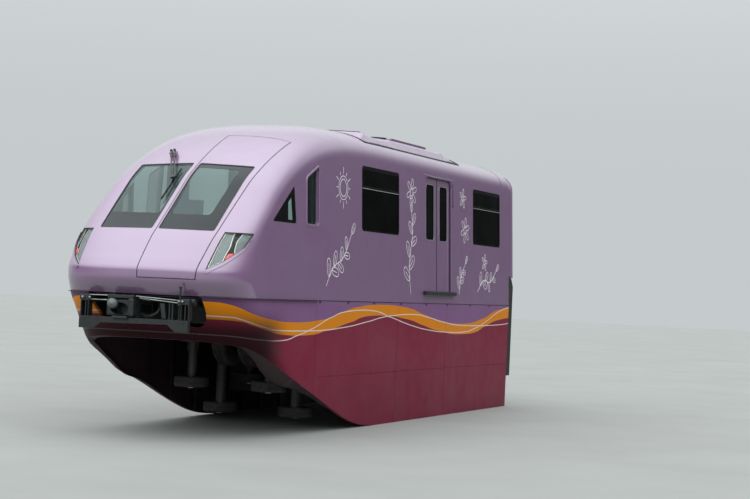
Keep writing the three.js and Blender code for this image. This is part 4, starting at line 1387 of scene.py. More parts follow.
    def build_side_glass(self, side: str, sign: int) -> None:
        """Flush triangular pane with a wide black border, and a narrow pane set back behind a raised lip."""
        triangle = rounded(self.outlines.triangle, self.window_corner)
        narrow = rounded(self.outlines.narrow, self.window_corner)
        clear = rounded(self.outlines.triangle_clear, 0.02)
        border = self.hull.wall_ring("border", triangle, clear, 0.003, 0.03, 0.001)
        pieces = [
            paint_all(border, self.finishes.black_print),
            paint_all(
                self.hull.wall_prism("pane", shrunk(triangle, 0.012), 0.01, 0.016),
                self.finishes.side_glass,
            ),
            paint_all(
                self.hull.wall_prism("set_back", shrunk(narrow, 0.003), 0.056, 0.062),
                self.finishes.side_glass,
            ),
            paint_all(
                self.hull.wall_ring("bead", narrow, shrunk(narrow, 0.014), 0.046, 0.06, 0.0006),
                self.finishes.rubber),
        ]
        glass = joined(f"cab_side_glass_{side}", pieces)
        lip = self.hull.wall_ring("lip", shrunk(narrow, -0.03), narrow, -0.01, 0.012, 0)
        bevel_edges(lip, 0.006, 3, 50)
        paint_all(lip, self.finishes.paint)
        lip.name = f"cab_window_lip_{side}"
        self.hand_over(on_side(glass, sign), "dark_glass", f"cab_glass_{side}")
        self.hand_over(on_side(lip, sign), "purple_paint", "nose_cowl", hides=False)


# Chin and skirts


@dataclass
class Chin(Part):
    """Lower front of the nose with the coupler's recess, and the dark seam above it."""

    wall: float = 0.06
    seam: float = 0.006
    rear_y: float = -3.08
    recess_rear_y: float = -5.05
    recess: Outline = (
        (-0.76, 1.2), (-0.76, 0.86), (-0.7, 0.72), (-0.56, 0.6), (0.74, 0.6), (0.83, 0.68), (0.858, 0.83),
        (0.84, 1.2),
    )
    lower_edge: Outline = (
        (-6.3, 0.43), (-5.45, 0.43), (-5.2, 0.415), (-4.85, 0.33), (-4.15, 0.07), (-3.5, -0.165),
        (-3.08, -0.3), (-2.5, -0.5), (-2.0, -0.66), (-1.6, -0.76), (-1.2, -0.82), (-0.7, -0.85),
    )

    lip: Sequence[tuple[float, float, float]] = (
        (-5.0, 0.05, 0.004), (-4.7, 0.13, 0.05), (-4.38, 0.185, 0.1), (-4.11, 0.185, 0.14),
        (-3.85, 0.18, 0.12), (-3.48, 0.15, 0.045), (-3.08, 0.1, 0.016), (-2.5, 0.05, 0.004),
    )

    def below_edge(self) -> Piece:
        """Everything under the lower edge, as a tool."""
        line = smooth_line(self.lower_edge, 6)
        return prism_along_x("below", [*line, (-0.7, -1.4), (-6.3, -1.4)], -2, 2)

    def recess_tool(self) -> Piece:
        """The coupler's recess, as a tool."""
        return prism_along_y("recess", rounded(self.recess, 0.06), -7, self.recess_rear_y)

    def build(self) -> None:
        """Build the chin, its seam, its lip and the recess's lining."""
        chin = self.hull.shell("nose_chin_skin", 0, self.wall, lower=True)
        top = self.hull.SEAM_Z - self.seam
        kept_between(chin, (-8, -2), (self.rear_y - 0.002, top))
        carved(chin, self.below_edge())
        carved(chin, self.recess_tool())
        paint_all(chin, self.finishes.skirt_paint)
        # Inward faces take the near-black finish, painted shade.
        paint_inside(chin, self.finishes.shaded_underside, self.rear_y + 0.2)
        self.hull.shade(chin)
        self.hand_over(chin, "maroon_paint", "nose_chin", angle=None)
        self.build_seam()
        self.build_lining()
        self.build_lip()

    def build_seam(self) -> None:
        """Dark strip in the seam between the upper body and the chin."""
        strip = self.hull.shell("seam_strip", -0.0012, 0.03, lower=True)
        top = self.hull.SEAM_Z - 0.0004
        kept_between(strip, (-8, self.hull.SEAM_Z - 0.012), (self.rear_y, top))
        carved(strip, self.recess_tool())
        paint_all(strip, self.finishes.rubber)
        self.hand_over(strip, "rubber", "nose_chin", hides=False)

    def side_x(self, y: np.ndarray, z: np.ndarray) -> np.ndarray:
        """Place across the car of the chin's outer face, for places along the car and heights."""
        table = np.array([(s.centre_z, s.centre_y, s.side_y) for s in self.hull.LOWER])
        centre, side = np.interp(z, table[:, 0], table[:, 1]), np.interp(z, table[:, 0], table[:, 2])
        share = np.clip((side - y) / (side - centre), 0, 1)
        power = self.hull.CORNER_POWER
        return self.hull.SKIRT_HALF_WIDTH * (1 - share ** power) ** (1 / power)

    def build_lip(self) -> None:
        """Lip along each side's lower edge, where the wall turns under the car."""
        y = np.linspace(self.lip[0][0], self.lip[-1][0], 44)
        places, widths, drops = np.array(self.lip).T
        width, drop = np.interp(y, places, widths), np.interp(y, places, drops)
        height = np.interp(y, *np.array(smooth_line(self.lower_edge, 6)).T)
        x = self.side_x(y, height) - 0.003
        slope = np.gradient(x, y)
        length = np.hypot(1, slope)
        rows = []
        for turn in np.linspace(0, math.pi / 2, 8):
            inward = width * turn / (math.pi / 2)
            rows.append(np.stack([
                x - inward / length, y + inward * slope / length, height - 0.001 - drop * math.sin(turn),
            ], axis=1))
        lip = self.hull.sheet("chin_lip_left", np.stack(rows))
        apply_modifier(lip, "SOLIDIFY", thickness=0.012, offset=1)
        # The lip takes the near-black finish, painted shade where the wall turns under.
        paint_all(lip, self.finishes.shaded_underside)
        twin = copied(lip, "chin_lip_right", MIRROR_X)
        for piece in (lip, twin):
            self.hand_over(piece, "maroon_paint", "nose_chin", hides=False, angle=50)

    def build_lining(self) -> None:
        """Dark walls of the recess behind the opening."""
        low, high = (-0.85, -5.6, 0.575), (0.9, -5.0, 0.985)
        shell = block("recess_lining", low, high)
        carved(
            shell,
            block("hollow", (low[0] + 0.012, -7, low[2] + 0.012), (high[0] - 0.012, -4.9, high[2] - 0.012)),
        )
        carved(shell, extruded(self.hull.skin("outside", 0.058, lower=True), (0, -2, 0)))
        paint_all(shell, self.finishes.black_plastic)
        self.hand_over(shell, "slate_steel", "nose_chin", hides=False)


@dataclass
class Skirts(Part):
    """Side skirts in three panels a side, with joints, latches and stiffeners."""

    thickness: float = 0.045
    seam: float = 0.006
    joint: float = 0.008
    level_joint_z: float = -0.07
    groove_depth: float = 0.006
    joints_y: Sequence[float] = (-3.078, 0.113, 2.378, 5.852)
    latches_y: Sequence[float] = (-2.967, -1.943, -0.92, 0.225, 1.368, 2.397, 3.605, 4.673)

    def build(self) -> None:
        """Build the skirt of the left side and its mirrored twin."""
        below = Chin(self.frame, self.hull, self.finishes).below_edge
        outer = self.hull.SKIRT_HALF_WIDTH
        for side, sign in SIDES:
            panels = []
            for start, end in zip(self.joints_y, self.joints_y[1:]):
                low = (outer - self.thickness, start + self.joint / 2, self.hull.SKIRT_BOTTOM_Z)
                high = (outer, end - self.joint / 2, self.hull.SEAM_Z - self.seam)
                panel = carved(block("panel", low, high), below())
                groove_low = (outer - self.groove_depth, start + 0.15, self.level_joint_z - 0.005)
                groove_high = (outer + 1, end + 0.01, self.level_joint_z + 0.005)
                carved(panel, block("groove", groove_low, groove_high))
                panels.append(bevel_edges(panel, 0.003, 2, 50))
            skirt = paint_all(joined(f"skirt_{side}_panels", panels), self.finishes.skirt_paint)
            trim = joined(f"skirt_{side}_backing", self.backing())
            paint_all(trim, self.finishes.slate)
            latches = paint_all(joined(f"skirt_{side}_latches", self.latches()), self.finishes.slate)
            for piece in (skirt, trim, latches):
                on_side(piece, sign)
            # Inward faces take the near-black finish, painted shade.
            paint_inside(skirt, self.finishes.shaded_underside)
            self.hand_over(skirt, "maroon_paint", f"skirt_{side}")
            self.hand_over(trim, "slate_steel", f"skirt_{side}", hides=False)
            self.hand_over(latches, "slate_steel", f"skirt_{side}", hides=False)

    def backing(self) -> list[Piece]:
        """Rails and ribs behind the panels, which also close the joints."""
        inside = self.hull.SKIRT_HALF_WIDTH - self.thickness
        outer = self.hull.SKIRT_HALF_WIDTH
        rails = [
            block("top_rail", (inside - 0.022, -3.05, 0.93), (inside - 0.001, 5.84, 0.988), 0.003),
            block("seam_strip", (inside, -3.078, 0.988), (outer + 0.0012, self.joints_y[-1], 1.0 - 0.0004)),
        ]
        for start, end in zip(self.joints_y, self.joints_y[1:]):
            count = max(2, round((end - start) / 0.75))
            for step in range(count + 1):
                y = start + (end - start) * step / count
                y = min(max(y, -3.0), 5.81)
                foot = max(self.hull.SKIRT_BOTTOM_Z, float(np.interp(
                    y, *np.array(Chin.lower_edge).T))) + 0.04
                rails.append(
                    block("rib", (inside - 0.022, y - 0.03, foot), (inside - 0.001, y + 0.03, 0.94), 0.003)
                )
        return rails

    def latches(self) -> list[Piece]:
        """Turn latches just under the seam."""
        outer = self.hull.SKIRT_HALF_WIDTH
        pieces = []
        for y in self.latches_y:
            plate = block(
                "plate", (outer - 0.002, y - 0.034, 0.962), (outer + 0.002, y + 0.034, 0.992), 0.0015
            )
            barrel = rod("barrel", (outer, y, 0.977), (outer + 0.006, y, 0.977), 0.009, 16, 0.001)
            slit = block("slit", (outer + 0.004, y - 0.006, 0.9757), (outer + 0.008, y + 0.006, 0.9783))
            pieces += [plate, carved(barrel, slit)]
        return pieces


# Saloon


@dataclass
class Saloon(Part):
    """Walls, roof, lining, windows and rear end of the saloon."""

    skin: float = 0.035
    lining_near: float = 0.085
    lining_far: float = 0.12
    front_y: float = -2.8
    door: tuple[float, float] = (1.34, 2.64)
    door_top_z: float = 3.04
    floor_z: float = 1.19
    transom_z: float = 2.667
    corner: float = 0.075
    side_tool_x: tuple[float, float] = (0.9, 1.6)
    jamb: tuple[float, float] = (0.022, 0.037)
    gusset: float = 0.1
    roof_joint_y: tuple[float, float] = (5.388, 5.405)

    def build(self) -> None:
        """Build and dress every piece of the saloon's shell."""
        self.build_skin()
        self.build_lining()
        for side, sign in SIDES:
            for place in PLACES:
                self.build_window(side, sign, place)
            self.build_doorway(side, sign)
        self.build_roof_joint()
        self.build_rear_end()

    def window_outline(self, place: str) -> Corners:
        """Corners of a saloon window's opening, as y and z."""
        low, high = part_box(f"saloon_window_left_{place}")
        return rectangle(low.y, high.y, low.z, high.z)

    def openings(self) -> list[Piece]:
        """Tools for every window and doorway."""
        tools = []
        for sign in (1, -1):
            for place in PLACES:
                edge = rounded(self.window_outline(place), self.corner)
                tools.append(prism_along_x("window", edge, *(sign * x for x in self.side_tool_x)))
            foot = self.floor_z - 0.06
            door = rectangle(*self.door, foot, self.door_top_z)
            tools.append(prism_along_x("doorway", door, *(sign * x for x in self.side_tool_x)))
        return tools

    def build_skin(self) -> None:
        """Outer skin of the walls and the roof."""
        skin = self.hull.shell("saloon_skin", 0, self.skin)
        kept_between(skin, (self.front_y, 0.5), (8, 4))
        carved(skin, *self.openings())
        paint_all(skin, self.finishes.paint)
        self.hull.shade(skin)
        self.hand_over(skin, "purple_paint", "roof_shell", "side_wall_left", "side_wall_right", angle=None)

    def build_lining(self) -> None:
        """Inner lining of the walls and the ceiling."""
        lining = self.hull.shell("saloon_lining", self.lining_near, self.lining_far)
        kept_between(lining, (self.front_y, self.floor_z + 0.001), (self.hull.REAR_Y - 0.053, 4))
        carved(lining, *self.openings())
        paint_all(lining, self.finishes.lining)
        self.hull.shade(lining, 0.12)
        self.hand_over(lining, "lining", "roof_shell", hides=False, angle=None)

    def build_window(self, side: str, sign: int, place: str) -> None:
        """Window: dark pane, seal through the wall, transom and the frame of its top-hung upper light."""
        corners = self.window_outline(place)
        (start, _), (end, top) = corners[0], corners[2]
        edge = rounded(corners, self.corner)
        look = self.finishes
        clear = shrunk(edge, 0.022)
        pane = paint_all(self.hull.wall_prism("pane", shrunk(edge, 0.006), 0.01, 0.016), look.dark_glass)
        seal = paint_all(self.hull.wall_ring("seal", edge, clear, 0.002, 0.092, 0.0005), look.black_print)
        upper = rectangle(start + 0.022, end - 0.022, self.transom_z + 0.008, top - 0.022)
        light_edge = rounded(upper, self.corner * 0.7)
        light = self.hull.wall_ring("light", light_edge, shrunk(light_edge, 0.03), 0.002, 0.012, 0)
        paint_all(bevel_edges(light, 0.002, 2, 50), look.black_print)
        bar = rectangle(start + 0.018, end - 0.018, self.transom_z - 0.004, self.transom_z + 0.006)
        transom = paint_all(
            bevel_edges(self.hull.wall_prism("transom", bar, -0.001, 0.02), 0.002), look.alloy
        )
        catches = []
        for y in (start + 0.35, end - 0.35):
            outline = rectangle(y - 0.035, y + 0.035, self.transom_z + 0.02, self.transom_z + 0.055)
            catch = bevel_edges(self.hull.wall_prism("catch", outline, -0.001, 0.01), 0.003)
            catches.append(paint_all(catch, look.black_print))
        piece = joined(f"saloon_window_{side}_{place}_unit", [pane, seal, light, transom, *catches])
        self.hand_over(on_side(piece, sign), "dark_glass", f"saloon_window_{side}_{place}")

    def build_doorway(self, side: str, sign: int) -> None:
        """Trim round the doorway, rain strip above it, tread below it and the release behind it."""
        start, end = self.door
        jambs = []
        for y0, y1 in ((start, start + 0.007), (end - 0.007, end)):
            upright = rectangle(y0, y1, self.floor_z, self.door_top_z)
            jambs.append(self.hull.wall_prism("jamb", upright, *self.jamb))
        head = rectangle(start, end, self.door_top_z - 0.009, self.door_top_z)
        jambs.append(self.hull.wall_prism("head", head, *self.jamb))
        seal = paint_all(joined(f"doorway_seal_{side}", jambs), self.finishes.rubber)
        corner_pieces = []
        for y, turn in ((start, 1), (end, -1)):
            arc = [(y, self.door_top_z)]
            arc += [
                (
                    y + turn * self.gusset * (1 - math.sin(a)),
                    self.door_top_z - self.gusset * (1 - math.cos(a)),
                )
                for a in np.linspace(0, math.pi / 2, 9)
            ]
            corner_pieces.append(self.hull.wall_prism("corner", arc, 0.0002, 0.034))
        gusset = paint_all(joined(f"doorway_corners_{side}", corner_pieces), self.finishes.paint)
        rain = rectangle(start - 0.06, end + 0.06, self.door_top_z + 0.018, self.door_top_z + 0.03)
        strip = bevel_edges(self.hull.wall_prism(f"rain_strip_{side}", rain, -0.014, 0.004), 0.004, 3)
        paint_all(strip, self.finishes.paint)
        handle = rectangle(2.684, 2.7, 2.65, 3.005)
        upright = bevel_edges(self.hull.wall_prism("upright", handle, -0.006, 0.002), 0.003, 2)
        knob = rectangle(2.676, 2.708, 2.622, 2.652)
        knob_piece = bevel_edges(self.hull.wall_prism("knob", knob, -0.014, 0.002), 0.006, 3)
        control = paint_all(
            joined(f"door_release_{side}", [upright, knob_piece]), self.finishes.black_plastic
        )
        tread = [
            block("plate", (1.08, start - 0.085, self.floor_z + 0.0002), (1.374, end + 0.085, 1.194), 0.0015)
        ]
        for x in np.arange(1.325, 1.37, 0.012):
            tread.append(block("rib", (x, start - 0.07, 1.193), (x + 0.005, end + 0.07, 1.196)))
        tread = paint_all(joined(f"sill_tread_{side}", tread), self.finishes.sill)
        fitted = (
            (seal, "rubber"), (gusset, "purple_paint"), (strip, "purple_paint"), (control, "rubber"),
            (tread, "rail_steel"),
        )
        for piece, slot in fitted:
            self.hand_over(on_side(piece, sign), slot, f"side_wall_{side}", hides=False)

    def build_roof_joint(self) -> None:
        """Dark joint across the roof near its rear end."""
        strip = self.hull.shell("roof_joint", -0.0012, 0.004)
        kept_between(strip, (self.roof_joint_y[0], 3.16), (self.roof_joint_y[1], 4))
        paint_all(strip, self.finishes.rubber)
        self.hand_over(strip, "rubber", "roof_shell", hides=False)

    def build_rear_end(self) -> None:
        """End wall with the doorway to the gangway and its frame."""
        rear = self.hull.REAR_Y
        wall = prism_along_y(
            "rear_end_panel", self.hull.section(self.skin + 0.0005, 1.0), rear - 0.052, rear - 0.001
        )
        doorway = rounded(rectangle(-0.5, 0.5, self.floor_z, 3.1), 0.12)
        carved(wall, prism_along_y("doorway", doorway, rear - 0.2, rear + 0.2))
        paint_all(bevel_edges(wall, 0.003, 2, 50), self.finishes.paint)
        frame = prism_along_y(
            "doorway_frame", rounded(rectangle(-0.54, 0.54, 1.15, 3.14), 0.15), rear - 0.056, rear + 0.02
        )
        carved(frame, prism_along_y("inside", shrunk(doorway, 0.002), rear - 0.3, rear + 0.3))
        paint_all(bevel_edges(frame, 0.005, 2, 50), self.finishes.alloy)
        self.hand_over(wall, "purple_paint", "rear_end_wall")
        self.hand_over(frame, "frame_steel", "rear_end_wall", hides=False)


@dataclass
class Doors(Part):
    """Two sliding leaves a side, each with its pane, silver trim and rubber edge."""

    near: float = 0.041
    far: float = 0.079
    corner: float = 0.08
    pane_wider: float = 0.009
    rubber_width: float = 0.014

    def build(self) -> None:
        """Build the leaves of both sides."""
        for side, sign in SIDES:
            for place in PLACES:
                self.build_leaf(side, sign, place)

    def build_leaf(self, side: str, sign: int, place: str) -> None:
        """Leaf and pane; the leaf's rubber edge is the one that meets its twin."""
        low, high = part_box(f"door_leaf_{side}_{place}")
        pane_low, pane_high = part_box(f"door_glass_{side}_{place}")
        outline = rectangle(low.y, high.y, low.z + 0.004, high.z)
        window = rounded(
            rectangle(pane_low.y - self.pane_wider, pane_high.y + self.pane_wider, pane_low.z, pane_high.z),
            self.corner
        )
        look = self.finishes
        meeting = high.y if place == "front" else low.y
        inward = -1 if place == "front" else 1
        panel = self.hull.wall_prism("panel", outline, self.near, self.far)
        carved(panel, self.hull.wall_prism("window", window, self.near - 0.1, self.far + 0.1))
        rubber = rectangle(
            *sorted((meeting, meeting + inward * self.rubber_width)), low.z + 0.006, high.z - 0.004
        )
        edge = self.hull.wall_prism("edge", rubber, self.near - 0.003, self.far + 0.002)
        paint_all(bevel_edges(panel, 0.002, 2, 50), look.paint)
        leaf = joined("leaf", [panel, paint_all(bevel_edges(edge, 0.003, 2, 50), look.rubber)])
        pane = self.hull.wall_prism("pane", shrunk(window, 0.004), self.near + 0.006, self.near + 0.012)
        trim = self.hull.wall_ring(
            "trim", window, shrunk(window, 0.009), self.near - 0.004, self.far + 0.003, 0.0004
        )
        paint_all(bevel_edges(trim, 0.002, 2, 50), look.alloy)
        bead = self.hull.wall_ring(
            "bead", shrunk(window, 0.009), shrunk(window, 0.016), self.near, self.near + 0.02, 0
        )
        glass = joined("glass", [paint_all(pane, look.dark_glass), trim, paint_all(bead, look.black_print)])
        leaf.name = f"door_leaf_{side}_{place}_panel"
        glass.name = f"door_pane_{side}_{place}"
        self.hand_over(on_side(leaf, sign), "purple_paint", f"door_leaf_{side}_{place}")
        self.hand_over(on_side(glass, sign), "dark_glass", f"door_glass_{side}_{place}")


# Roof and gangway


@dataclass
class RoofPod(Part):
    """Fairing of the air conditioning across the roof: a front block and a longer rear part with fans.

    Attributes:
        foot_x: half width of its foot.
        foot_z: height of its foot on the roof's shoulder.
        edge_x: half width between its upper edges.
        depth: how far its walls reach down, before the roof is taken out.
        rail_x: place across the car of the raised rails.
        slit_x: place across the car of the slits in the rails' outer sides.
        grooves_y: places along the car of the joints between its panels.
        ring_radii: radii of the rings in a fan's guard.
        blades: number of a fan's blades.
        front_rows: place along the car, height of the upper edges and rise to the middle, of the front block.
        rear_rows: the same for the rear part.
        fan_places: middles of the fans, as x and y.
        fan_radius: radius of a fan's well.
    """

    foot_x: float = 1.105
    foot_z: float = 3.365
    edge_x: float = 1.0
    depth: float = 0.24
    rail_x: float = 0.915
    slit_x: float = 0.959
    grooves_y: Sequence[float] = (0.34, 1.49, 2.64)
    ring_radii: Sequence[float] = (0.08, 0.15, 0.22, 0.29)
    blades: int = 5
    front_rows: Outline = (
        (-1.04, 3.4, 0.035), (-0.874, 3.53, 0.035), (-0.85, 3.541, 0.035), (-0.35, 3.493, 0.08),
        (-0.332, 3.48, 0.08),
    )
    rear_rows: Outline = (
        (-0.316, 3.466, 0.09), (-0.292, 3.487, 0.09), (0.38, 3.526, 0.09), (0.46, 3.53, 0.09),
        (2.66, 3.53, 0.09), (2.78, 3.518, 0.09), (3.36, 3.4, 0.09),
    )
    fan_places: Outline = ((-0.44, 0.92), (0.44, 0.92), (-0.44, 2.06), (0.44, 2.06))
    fan_radius: float = 0.34

    def top(self, x: float, edge: float, crown: float) -> float:
        """Height of the fairing's top at a place across the car."""
        return edge + crown * (1 - (abs(x) / self.edge_x) ** 1.6)

    def section(self, edge: float, crown: float) -> Corners:
        """Outline across the fairing, as x and z from the left foot over the top to the right foot."""
        foot, corner = Vector((self.foot_x, self.foot_z)), Vector((self.edge_x, edge))
        start, end = foot.lerp(corner, 0.75), Vector((0.94, self.top(0.94, edge, crown)))
        half = [tuple(foot)]
        for t in np.linspace(0, 1, 5):
            half.append(tuple(start * (1 - t) ** 2 + corner * (2 * t * (1 - t)) + end * t**2))
        half += [(x, self.top(x, edge, crown)) for x in (0.8, 0.65, 0.5, 0.35, 0.18, 0)]
        return [*half, *[(-x, z) for x, z in reversed(half[:-1])]]

    def covering(self, name: str, rows: Outline) -> Piece:
        """Closed piece under a run of sections."""
        grid = np.array([[(x, y, z) for x, z in self.section(edge, crown)] for y, edge, crown in rows])
        return extruded(self.hull.sheet(name, grid), (0, 0, -self.depth))

    def build(self) -> None:
        """Build the fairing, its fans, grilles and joints."""
        front = self.covering("roof_pod_front", self.front_rows)
        rear = self.covering("roof_pod_rear", self.rear_rows)
        grooves = [block("groove", (-2, y - 0.004, 3.44), (2, y + 0.004, 3.9)) for y in self.grooves_y]
        wells = [rod("well", (x, y, 3.5), (x, y, 3.9), self.fan_radius, 48) for x, y in self.fan_places]
        slot = block("slot", (-0.055, 0.5, 3.55), (0.055, 2.5, 3.9), 0.01)
        below = self.covering("below", [(y, edge - 0.012, crown) for y, edge, crown in self.rear_rows])
        carved(rear, carved(joined("grooves", grooves), below))
        carved(rear, *wells)
        carved(rear, slot)
        rails = [
            block(
                "rail", (sign * self.rail_x - 0.045, 0.44, 3.5), (sign * self.rail_x + 0.045, 2.06, 3.572),
                0.012, 3,
            )
            for sign in (1, -1)
        ]
        pod = joined("roof_pod", [front, rear, *rails])
        carved(pod, self.hull.shell("inside", 0.0003, 0.34))
        paint_all(pod, self.finishes.paint)
        self.hand_over(pod, "lilac_paint", "aircon_pod")
        fans = joined("roof_pod_fans", [piece for place in self.fan_places for piece in self.fan(*place)])
        paint_all(fans, self.finishes.slate)
        self.hand_over(fans, "slate_steel", "aircon_pod", hides=False)
        self.build_grilles()
        self.build_joints()

    def fan(self, x: float, y: float) -> list[Piece]:
        """Fan with its collar and guard rings in a round well."""
        level = self.top(x, *self.rear_rows[3][1:]) - 0.004
        pieces = []
        collar = [(self.fan_radius - 0.018, -0.02), (self.fan_radius - 0.018, 0.012),
                  (self.fan_radius + 0.016, 0.012),
                  (self.fan_radius + 0.022, -0.02)]
        pieces.append(lathed("collar", collar, (x, y, level), steps=40))
        for radius in self.ring_radii:
            ring = [
                (radius + 0.005 * math.cos(a), 0.005 * math.sin(a))
                for a in np.linspace(0, math.tau, 7)[:-1]
            ]
            pieces.append(lathed("ring", ring, (x, y, level), steps=36))
        for step in range(4):
            turn = math.radians(45 * step + 22.5)
            reach = Vector((math.cos(turn), math.sin(turn), 0)) * (self.fan_radius - 0.005)
            centre = Vector((x, y, level - 0.006))
            pieces.append(rod("spoke", centre - reach, centre + reach, 0.004, 8))
        hub = [(0, -0.045), (0.065, -0.045), (0.065, -0.03), (0.045, -0.018), (0, -0.018)]
        pieces.append(lathed("hub", hub, (x, y, level), steps=28))
        blade = block("blade", (0.055, -0.05, -0.0025), (0.305, 0.05, 0.0025), 0.002)
        blade.data.transform(moved((x, y, level - 0.036)) @ Matrix.Rotation(math.radians(9), 4, "X"))
        for step in range(1, self.blades):
            spin = Matrix.Rotation(math.tau * step / self.blades, 4, "Z")
            turn = moved((x, y, 0)) @ spin @ moved((-x, -y, 0))
            pieces.append(copied(blade, "blade_copy", turn))
        return [*pieces, blade]

    def build_grilles(self) -> None:
        """Slats of the long intake between the fans and of the vents on the raised rails."""
        slats = []
        for y in np.arange(0.52, 2.49, 0.04):
            slats.append(block("slat", (-0.056, y - 0.004, 3.59), (0.056, y + 0.01, 3.612), 0.002, 1))
        for sign in (1, -1):
            for y in np.arange(0.5, 2.01, 0.06):
                slats.append(
                    block(
                        "vent", (sign * self.rail_x - 0.026, y - 0.018, 3.568),
                        (sign * self.rail_x + 0.026, y + 0.018, 3.5745),
                    )
                )
                slats.append(
                    block(
                        "slit", (sign * self.slit_x - 0.003, y - 0.014, 3.552),
                        (sign * self.slit_x + 0.003, y + 0.014, 3.562),
                    )
                )
        grilles = paint_all(joined("roof_pod_grilles", slats), self.finishes.black_plastic)
        self.hand_over(grilles, "slate_steel", "aircon_pod", hides=False)

    def build_joints(self) -> None:
        """Dark joint where the fairing stands on the roof, and the dark seal along its front edge."""
        strip = self.hull.shell("roof_pod_joint", -0.006, 0.004)
        tools = []
        for grow in (0.006, -0.04):
            x, front, rear = self.foot_x + grow, self.front_rows[0][0] - grow, self.rear_rows[-1][0] + grow
            corners = rounded([(-x, front), (x, front), (x, rear), (-x, rear)], 0.04)
            tools.append(prism("edge", [(x, y, 3.2) for x, y in corners], (0, 0, 1)))
        carved(strip, tools[0], left=Cut.INSIDE)
        carved(strip, tools[1])
        y, edge, crown = self.front_rows[2]
        line = [(x, y - 0.004, self.top(x, edge, crown)) for x in np.linspace(-0.96, 0.96, 17)]
        seal = pipe("seal", line, 0.004, 2)
        step = [(x, -0.324, z - 0.004) for x, z in self.section(3.476, 0.082)[1:-1]]
        gap = pipe("gap", step, 0.006, 2)
        joints = paint_all(joined("roof_pod_joint", [strip, seal, gap]), self.finishes.rubber)
        self.hand_over(joints, "rubber", "aircon_pod", hides=False)


@dataclass
class WallDrawings(Part):
    """White line drawings on the side walls: a sun, sprigs and flowers, as thin ribbons of film.

    Attributes:
        half_line: half width of a ribbon.
        flatness: share of that half width by which the ribbon stands off the wall.
    """

    half_line: float = 0.0065
    flatness: float = 0.1

    def stroke(self, points: Outline, closed: bool = False) -> Piece:
        """Ribbon through points, given as y and z."""
        ribbon = pipe("stroke", [(0, y, z) for y, z in points], self.half_line, 1, closed)
        ribbon.data.transform(Matrix.Scale(self.flatness, 4, (1, 0, 0)))
        return ribbon

    def leaf(self, foot: Vector, turn: float, length: float, vein: bool = True) -> list[Piece]:
        """Pointed leaf from its foot, turned from the upright by an angle in degrees."""
        ahead = Vector((math.sin(math.radians(turn)), math.cos(math.radians(turn))))
        aside = Vector((ahead.y, -ahead.x)) * length * 0.24
        tip = foot + ahead * length
        edges = [foot, foot + ahead * length * 0.42 + aside, tip, foot + ahead * length * 0.42 - aside]
        strokes = [self.stroke(edges, True)]
        if vein:
            strokes.append(self.stroke([foot, foot + ahead * length * 0.72]))
        return strokes

    def ring(self, middle: Vector, radius: float) -> Piece:
        """Circle round a point."""
        points = [
            middle + Vector((math.cos(a), math.sin(a))) * radius for a in np.linspace(0, math.tau, 9)[:-1]
        ]
        return self.stroke(points, True)

    def flower(self, middle: Vector, radius: float, petals: int = 6) -> list[Piece]:
        """Flower of pointed petals round a small ring."""
        heart = radius * 0.26
        strokes = [self.ring(middle, heart)]
        for i in range(petals):
            turn = 360 * i / petals + 12
            ahead = Vector((math.sin(math.radians(turn)), math.cos(math.radians(turn))))
            strokes += self.leaf(middle + ahead * heart, turn, radius - heart, False)
        return strokes

    def sprig(self, stem: Outline, leaves: int, length: float) -> list[Piece]:
        """Bent stem with leaves on both sides by turns and one at its tip."""
        line = [Vector(point) for point in smooth_line(stem, 8)]
        strokes = [self.stroke(stem)]
        for i in range(leaves):
            at = round((0.18 + 0.76 * i / leaves) * (len(line) - 2))
            ahead = (line[at + 1] - line[at]).normalized()
            turn = math.degrees(math.atan2(ahead.x, ahead.y))
            strokes += self.leaf(line[at], turn + (48 if i % 2 else -48), length * (1 - 0.35 * i / leaves))
        ahead = (line[-1] - line[-2]).normalized()
        return strokes + self.leaf(line[-1], math.degrees(math.atan2(ahead.x, ahead.y)), length * 0.7)

    def sun(self, middle: Vector, radius: float, rays: int = 12) -> list[Piece]:
        """Two rings with straight rays round them."""
        strokes = [self.ring(middle, radius), self.ring(middle, radius * 0.72)]
        for i in range(rays):
            ahead = Vector((math.cos(math.tau * i / rays), math.sin(math.tau * i / rays)))
            reach = 1.75 if i % 2 else 1.5
            strokes.append(self.stroke([middle + ahead * radius * 1.2, middle + ahead * radius * reach]))
        return strokes

    def build(self) -> None:
        """Draw the same motifs on both walls."""
        for side, sign in SIDES:
            strokes = [
                *self.sun(Vector((-2.12, 2.62)), 0.17),
                *self.sprig(((-2.75, 1.2), (-2.5, 1.46), (-2.12, 1.62), (-1.8, 1.98)), 7, 0.26),
                *self.sprig(((0.66, 1.14), (0.6, 1.6), (0.74, 2.1), (0.7, 2.44)), 6, 0.3),
                *self.flower(Vector((0.7, 2.74)), 0.22),
                *self.flower(Vector((3.22, 2.8)), 0.17, 5),
                *self.flower(Vector((3.34, 2.26)), 0.22, 6),
                *self.sprig(((3.02, 1.16), (3.12, 1.44), (3.36, 1.7)), 4, 0.22),
                *self.sprig(((4.02, 1.22), (4.36, 1.42), (4.74, 1.4), (5.1, 1.62)), 6, 0.24),
                *self.flower(Vector((4.42, 1.74)), 0.15, 5),
            ]
            drawings = joined(f"wall_drawings_{side}", strokes)
            drawings.data.transform(self.hull.leaning(0.0004))
            paint_all(drawings, self.finishes.white_film)
            self.hand_over(
                on_side(drawings, sign), "purple_paint", f"side_wall_{side}", hides=False, angle=60
            )


